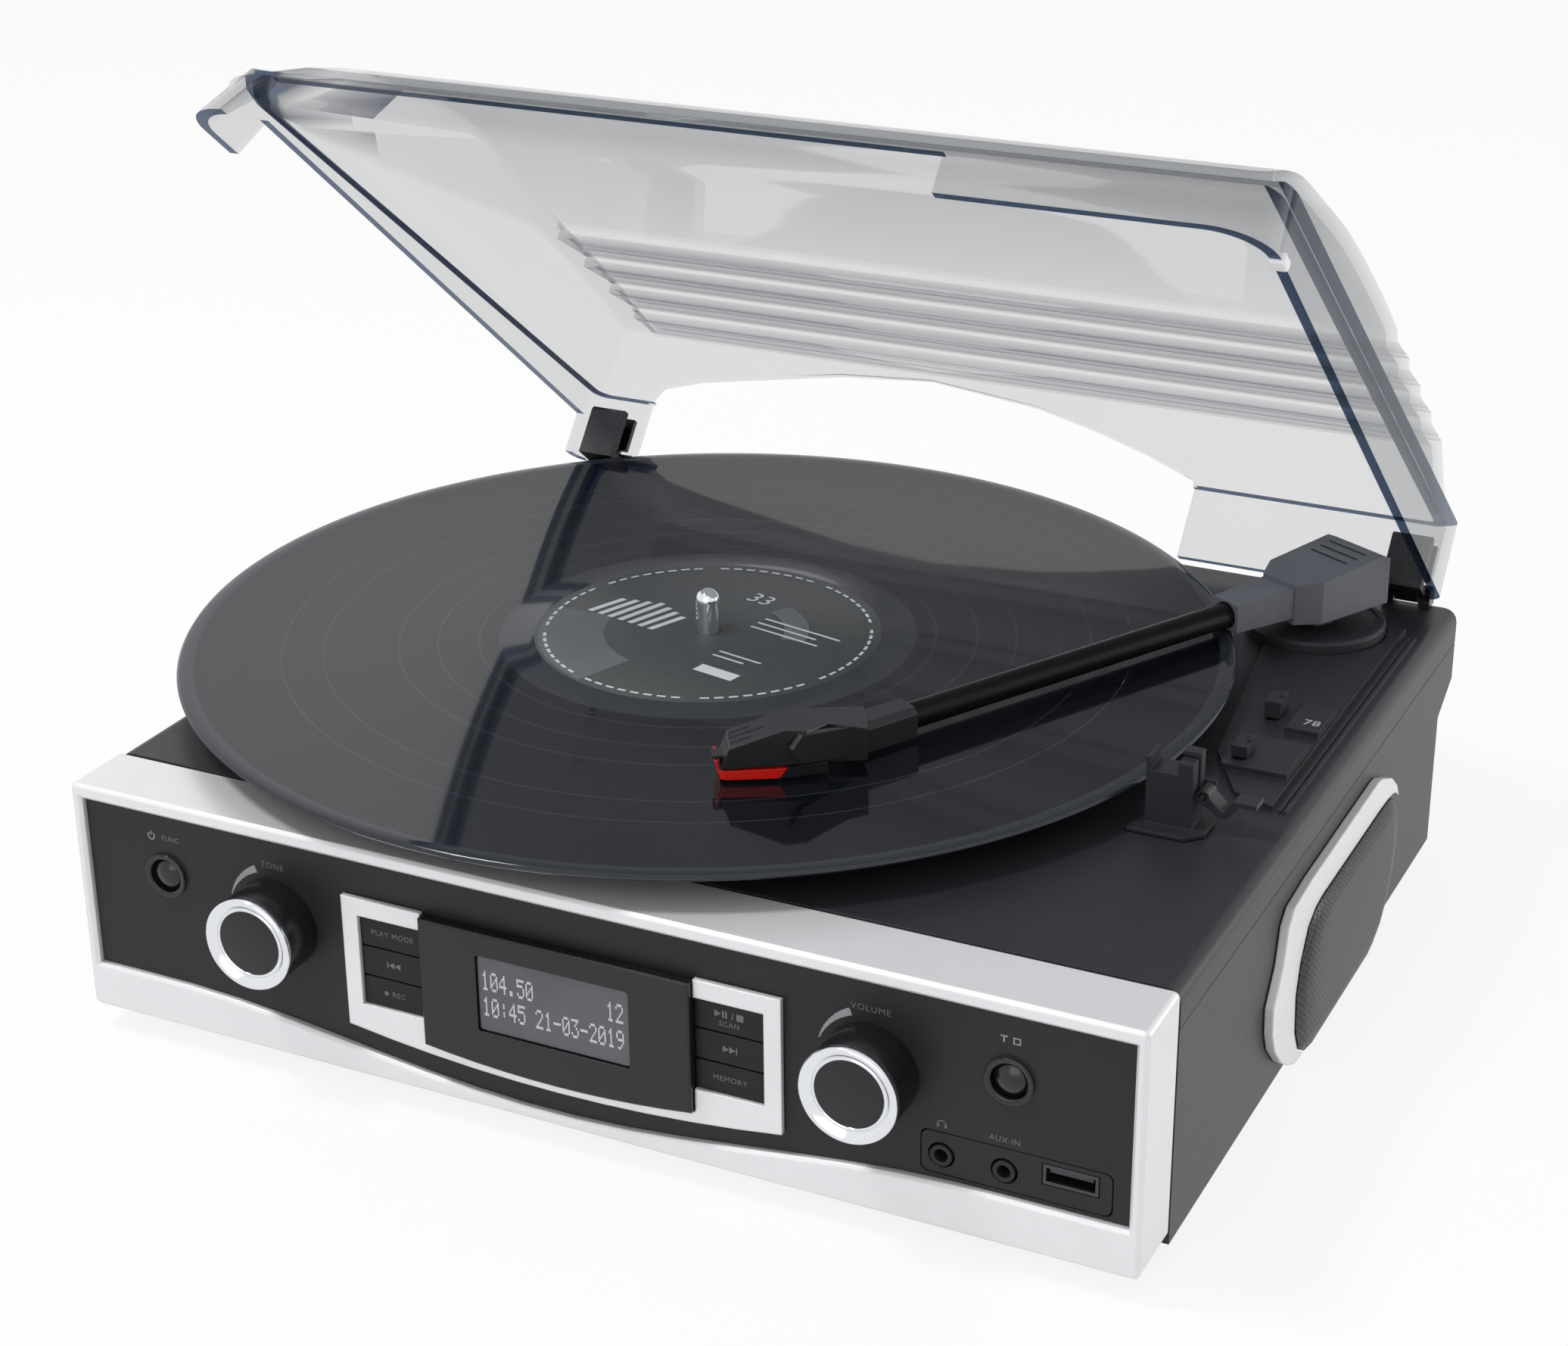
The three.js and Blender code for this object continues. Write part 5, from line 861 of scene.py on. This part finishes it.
def word(name, words, height, place, body="case", stretch=1.0):
    """A word on the front in the panel's dim print."""
    lettered(name, words, height, place, PRINTS["print_dim"], body, stretch=stretch)


# The words and the growing scales over the two knobs. Angles are in degrees.
KNOB_WORD_RISE = 16.6
KNOB_WORD_HEIGHT = 1.7
SCALE = {"inner": 14.6, "steps": 11, "first": 158, "angle": 4.4, "thin": 0.35, "grow": 0.17}
ticks = []
for count in range(SCALE["steps"]):
    begin = SCALE["first"] - SCALE["angle"] * count
    wide = SCALE["thin"] + SCALE["grow"] * count
    ticks += ring_shape(SCALE["inner"], SCALE["inner"] + wide, begin - SCALE["angle"], begin, 2)
for name, words in (("tone", "TONE"), ("volume", "VOLUME")):
    at = middle(name + "_knob")
    over_knob = on_front(at.x, at.z + KNOB_WORD_RISE * MM)
    word(name + "_word", words, KNOB_WORD_HEIGHT, over_knob, stretch=1.15)
    printed(name + "_scale", ticks, on_front(at.x, at.z), PRINTS["print_grey"], "case")

# The signs and the word over the round buttons. Bars list left, low, width and height.
WORD_HEIGHT = 1.5
BUTTON_RISE = 10.9
POWER_RING = {
    "inner": 0.85, "outer": 1.15, "start_angle": -235, "end_angle": 55, "steps": 24, "at": (-4.0, 0)}
POWER_BAR = (-4.15, 0.2, 0.3, 1.2)
POWER_WORD_RIGHT = 2.2
power = middle("power_button")
symbol = [*ring_shape(**POWER_RING), bar(*POWER_BAR)]
printed("power_symbol", symbol, on_front(power.x, power.z + BUTTON_RISE * MM), PRINTS["print_grey"], "case")
over_power = on_front(power.x + POWER_WORD_RIGHT * MM, power.z + BUTTON_RISE * MM)
word("power_word", "FUNC", WORD_HEIGHT, over_power)
mode = middle("mode_button")
SQUARE_BARS = ((0.6, -0.9, 1.9, 0.3), (0.6, 0.6, 1.9, 0.3), (0.6, -0.6, 0.3, 1.2), (2.2, -0.6, 0.3, 1.2))
TEE_BARS = ((-2.6, 0.6, 1.8, 0.35), (-1.87, -0.9, 0.35, 1.5))
symbol = [bar(*sides) for sides in SQUARE_BARS + TEE_BARS]
printed("mode_symbol", symbol, on_front(mode.x, mode.z + BUTTON_RISE * MM), PRINTS["print_grey"], "case")


def key_face(name):
    """The place of a key's face and the body that the key moves with."""
    centre = middle(name)
    return centre.x, centre.z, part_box(name)[0].y, name.replace("key_", "button_")


SKIP = {"height": 1.9, "width": 1.7, "first": -1.9, "second": -0.1, "stop": 1.75, "stop_width": 0.35}


def skip_marks(direction):
    """Two triangles and a bar, pointing right for 1 and left for -1."""
    height, width = SKIP["height"], SKIP["width"] * direction
    shapes = [triangle(SKIP[start_at] * direction, 0, width, height) for start_at in ("first", "second")]
    stop = SKIP["stop"] * direction
    left = min(stop, stop + SKIP["stop_width"] * direction)
    return [*shapes, bar(left, -height / 2, SKIP["stop_width"], height)]


REC_DOT = {"radius": 0.65, "at": (-2.9, 0)}
# Left, middle height, width and height of the triangle, and the bars beside it
PLAY_TRIANGLE = (-4.0, 1.0, 1.8, 2.0)
PLAY_BARS = ((-1.9, 0, 0.5, 2.0), (-1.1, 0, 0.5, 2.0), (0.6, 0, 0.25, 2.0, 0.4), (2.0, 0, 1.9, 1.9))
KEY_MARKS = (
    ("key_left_middle", skip_marks(-1)),
    ("key_right_middle", skip_marks(1)),
    ("key_right_top", [triangle(*PLAY_TRIANGLE), *(bar(*sides) for sides in PLAY_BARS)]),
    ("key_left_bottom", [disc(**REC_DOT)]),
)
for name, shapes in KEY_MARKS:
    x, z, face, body = key_face(name)
    printed(name + "_mark", shapes, on_front(x, z, face), PRINTS["print_dim"], body)
# Each key's word, its height, and how far it stands right of the middle and above it
KEY_WORDS = (
    ("key_left_top", "PLAY MODE", WORD_HEIGHT, 0.0, 0.0), ("key_left_bottom", "REC", WORD_HEIGHT, 0.9, 0.0),
    ("key_right_top", "SCAN", 1.4, 0.0, -1.7), ("key_right_bottom", "MEMORY", WORD_HEIGHT, 0.0, 0.0),
)
for name, words, height, right, up in KEY_WORDS:
    x, z, face, body = key_face(name)
    word(name + "_word", words, height, on_front(x + right * MM, z + up * MM, face), body, stretch=1.12)

# The marks over the two round sockets
SOCKET_RISE = 8.6
HEADBAND = {"inner": 0.95, "outer": 1.2, "end_angle": 180, "steps": 14}
EAR_BARS = ((-1.3, -0.9, 0.55, 1.0), (0.75, -0.9, 0.55, 1.0))
phones = middle("headphone_socket")
headband = [*ring_shape(**HEADBAND), *(bar(*sides) for sides in EAR_BARS)]
over_phones = on_front(phones.x, phones.z + SOCKET_RISE * MM)
printed("headphone_symbol", headband, over_phones, PRINTS["print_dim"], "case")
aux = middle("aux_socket")
word("aux_word", "AUX-IN", WORD_HEIGHT, on_front(aux.x, aux.z + SOCKET_RISE * MM), stretch=1.1)

# The display: numbers made of small square dots
DIGIT_ROWS = {
    "0": (".###.", "#...#", "#..##", "#.#.#", "##..#", "#...#", ".###."),
    "1": ("..#..", ".##..", "..#..", "..#..", "..#..", "..#..", ".###."),
    "2": (".###.", "#...#", "....#", "...#.", "..#..", ".#...", "#####"),
    "3": ("#####", "...#.", "..#..", "...#.", "....#", "#...#", ".###."),
    "4": ("...#.", "..##.", ".#.#.", "#..#.", "#####", "...#.", "...#."),
    "5": ("#####", "#....", "####.", "....#", "....#", "#...#", ".###."),
    "6": ("..##.", ".#...", "#....", "####.", "#...#", "#...#", ".###."),
    "7": ("#####", "....#", "...#.", "..#..", ".#...", ".#...", ".#..."),
    "8": (".###.", "#...#", "#...#", ".###.", "#...#", "#...#", ".###."),
    "9": (".###.", "#...#", "#...#", ".####", "....#", "...#.", ".##.."),
    ":": (".....", "..#..", "..#..", ".....", "..#..", "..#..", "....."),
    "-": (".....", ".....", ".....", "#####", ".....", ".....", "....."),
    ".": (".....", ".....", ".....", ".....", ".....", ".##..", ".##.."),
    " ": (".....",) * 7,
}
SCREEN_LINES = ("104.50        12", "10:45 21-03-2019")
DOT_WIDTH, DOT_HEIGHT, DOT_GAP = 0.38, 0.74, 0.05
DOTS_ACROSS = 6
MIDDLE_ROW = 3
LINE_RISES = (3.9, -3.6)


def dot_numbers():
    """The lit dots of both lines, from the middle of the screen."""
    dots = []
    step_x, step_y = DOT_WIDTH + DOT_GAP, DOT_HEIGHT + DOT_GAP
    for line, rise in zip(SCREEN_LINES, LINE_RISES):
        start_x = -len(line) * DOTS_ACROSS * step_x / 2
        for place, sign in enumerate(line):
            for row, pattern in enumerate(DIGIT_ROWS[sign]):
                low = rise + (MIDDLE_ROW - row) * step_y - DOT_HEIGHT / 2
                for column, dot in enumerate(pattern):
                    if dot == "#":
                        left = start_x + (place * DOTS_ACROSS + column) * step_x
                        dots.append(bar(left, low, DOT_WIDTH, DOT_HEIGHT))
    return dots


screen = middle("display_screen")
on_screen = on_front(screen.x, screen.z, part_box("display_screen")[0].y)
printed("display_dots", dot_numbers(), on_screen, PRINTS["pixels"], "case")

# The number by the speed switch, on the pad beside it
PAD_RISE = 3.2
NUMBER_HEIGHT = 3.3
NUMBER_RIGHT = 9.6
NUMBER_FORWARD = 5.5
number_at = Vector((
    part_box("speed_selector")[1].x + NUMBER_RIGHT * MM, middle("speed_selector").y - NUMBER_FORWARD * MM,
    DECK_TOP + (PAD_RISE + PRINT_LIFT) * MM))
lettered(
    "speed_number", "78", NUMBER_HEIGHT, Matrix.Translation(number_at), PRINTS["print_light"], "case",
    stretch=1.05)

# Painted shade for the finger grooves on the arm's head and on the headshell: flat dark bars where the
# grooves lie
ARM_ANGLE = math.radians(-28.1)
ARM_PIVOT = Vector((middle("arm_yoke").x, middle("arm_yoke").y, DECK_TOP))


def on_slope(origin, angle, front, rear, lift=PRINT_LIFT):
    """The place of a drawing on a sloping top, from its front to its rear end. Each end is how far it lies
    ahead of the origin and how high above it, in millimetres. The drawing's Y runs back along the slope."""
    across = Vector((math.cos(angle), math.sin(angle), 0))
    back = Vector((-math.sin(angle), math.cos(angle), 0))
    slope = (back * (front[0] - rear[0]) + Vector((0, 0, rear[1] - front[1]))).normalized()
    up = across.cross(slope)
    place = Matrix((across, slope, up)).transposed().to_4x4()
    foot = origin - back * front[0] * MM + Vector((0, 0, front[1] * MM)) + up * lift * MM
    return Matrix.Translation(foot) @ place


HEAD_FRONT, HEAD_REAR = (10, 21.6), (-13.5, 24.2)
# The painted groove shades on the head: their length, their width, and how far back each lies
HEAD_SHADE_LENGTH, HEAD_SHADE_WIDTH = 14.8, 0.7
HEAD_GROOVE_SHADES = (13.4, 17.2, 21.0)
head_place = on_slope(ARM_PIVOT, ARM_ANGLE, HEAD_FRONT, HEAD_REAR)
groove_shade_bars = [
    bar(-HEAD_SHADE_LENGTH / 2, back, HEAD_SHADE_LENGTH, HEAD_SHADE_WIDTH) for back in HEAD_GROOVE_SHADES]
printed("head_groove_shade", groove_shade_bars, head_place, PRINTS["groove_shade_paint"], "arm")
SHELL_ANGLE = ARM_ANGLE - math.radians(31.9)
SHELL_BEND = 190.6
SHELL_FRONT, SHELL_REAR = (17.1, 19.7), (2.8, 24.5)
SHELL_SHADE_START, SHELL_SHADE_WIDTH = 0.7, 0.55
# Where each painted groove shade stands across the headshell, and its length
SHELL_GROOVE_SHADES = ((-4.4, 6.0), (-1.5, 9.4), (1.8, 6.0))
bend = ARM_PIVOT - Vector((-math.sin(ARM_ANGLE), math.cos(ARM_ANGLE), 0)) * SHELL_BEND * MM
shell_place = on_slope(bend, SHELL_ANGLE, SHELL_FRONT, SHELL_REAR)
groove_shade_bars = [bar(across, SHELL_SHADE_START, SHELL_SHADE_WIDTH, length) for across, length in SHELL_GROOVE_SHADES]
printed("shell_groove_shade", groove_shade_bars, shell_place, PRINTS["groove_shade_paint"], "arm")


# Camera, at the photograph's angle
CAMERA_PLACE = Vector((352.5, -704.0, 427.4)) * MM
CAMERA_LENS = 69.22
SENSOR_WIDTH = 36
NEAREST, FARTHEST = 0.01, 50
YAW, PITCH, ROLL = (math.radians(angle) for angle in (26.26, 24.08, 0.54))


def camera():
    """The camera that took the photograph, solved from the corners of the case."""
    ahead = Vector((-math.sin(YAW) * math.cos(PITCH), math.cos(YAW) * math.cos(PITCH), -math.sin(PITCH)))
    right = Vector((math.cos(YAW), math.sin(YAW), 0))
    down = ahead.cross(right)
    right_rolled = math.cos(ROLL) * right + math.sin(ROLL) * down
    down_rolled = -math.sin(ROLL) * right + math.cos(ROLL) * down
    made = bpy.data.objects.new("camera", bpy.data.cameras.new("camera"))
    made.data.lens = CAMERA_LENS
    made.data.sensor_width = SENSOR_WIDTH
    made.data.sensor_fit = "HORIZONTAL"
    made.data.clip_start, made.data.clip_end = NEAREST, FARTHEST
    turn = Matrix((right_rolled, -down_rolled, -ahead)).transposed().to_4x4()
    made.matrix_world = Matrix.Translation(CAMERA_PLACE) @ turn
    bpy.context.scene.collection.objects.link(made)
    bpy.context.scene.camera = made


camera()


# Floor, world and lamps. Lengths are metres here, and powers are watts.
FLOOR_HALF = 6.0
FLOOR_WHITE_SHARE = 0.86


def pale_rays(tree):
    """1 for what the camera sees straight, through the cover or in a reflection, and 0 for other light."""
    path = add(tree, "ShaderNodeLightPath")
    seen = counted(tree, "MAXIMUM", path.outputs["Is Camera Ray"], path.outputs["Is Transmission Ray"])
    return counted(tree, "MAXIMUM", seen, path.outputs["Is Glossy Ray"])


def floor():
    """A plain white floor that keeps a faint shadow."""
    made = bmesh.new()
    bmesh.ops.create_grid(made, x_segments=8, y_segments=8, size=FLOOR_HALF)
    mesh = meshed("floor", made)
    material, tree, shader = start("floor_white", {
        "Base Color": tone(246, 246, 247), "Roughness": 0.9, "Specular IOR Level": 0.0})
    share = product(tree, pale_rays(tree), FLOOR_WHITE_SHARE)
    white = add(tree, "ShaderNodeEmission", {"Strength": 1.0})
    chosen(tree, share, shader.outputs["BSDF"], white.outputs["Emission"], tree.nodes["Material Output"])
    mesh.materials.append(material)
    obj = bpy.data.objects.new("floor", mesh)
    bpy.context.scene.collection.objects.link(obj)


WORLD_STRENGTH = 0.55


def world():
    """Even light from all round, seen as white by the camera, in reflections and through the cover."""
    made = bpy.data.worlds.new("studio")
    bpy.context.scene.world = made
    made.use_nodes = True
    tree = made.node_tree
    plain = tree.nodes["Background"]
    plain.inputs["Color"].default_value = (1, 1, 1, 1)
    plain.inputs["Strength"].default_value = WORLD_STRENGTH
    white = add(tree, "ShaderNodeBackground", {"Color": (1, 1, 1, 1), "Strength": 1.0})
    chosen(
        tree, pale_rays(tree), plain.outputs["Background"], white.outputs["Background"],
        tree.nodes["World Output"])


def lamp(name, direction, distance, size, power):
    """A square soft lamp that points at the middle of the player."""
    data = bpy.data.lights.new(name, "AREA")
    data.shape = "SQUARE"
    data.size = size
    data.energy = power
    made = bpy.data.objects.new(name, data)
    aim = Vector((BODY.x, BODY.y, DECK_TOP))
    toward = Vector(direction).normalized()
    made.location = aim + toward * distance
    made.rotation_mode = "QUATERNION"
    made.rotation_quaternion = toward.to_track_quat("Z", "Y")
    bpy.context.scene.collection.objects.link(made)


floor()
world()
lamp("key_lamp", (-0.42, -0.25, 0.88), distance=1.6, size=0.3, power=11)
lamp("fill_lamp", (0.1, -0.95, 0.45), distance=2.0, size=1.4, power=8)
lamp("side_lamp", (0.85, 0.55, 0.1), distance=1.3, size=0.5, power=4.5)

scene = bpy.context.scene
scene.view_settings.view_transform = "Standard"
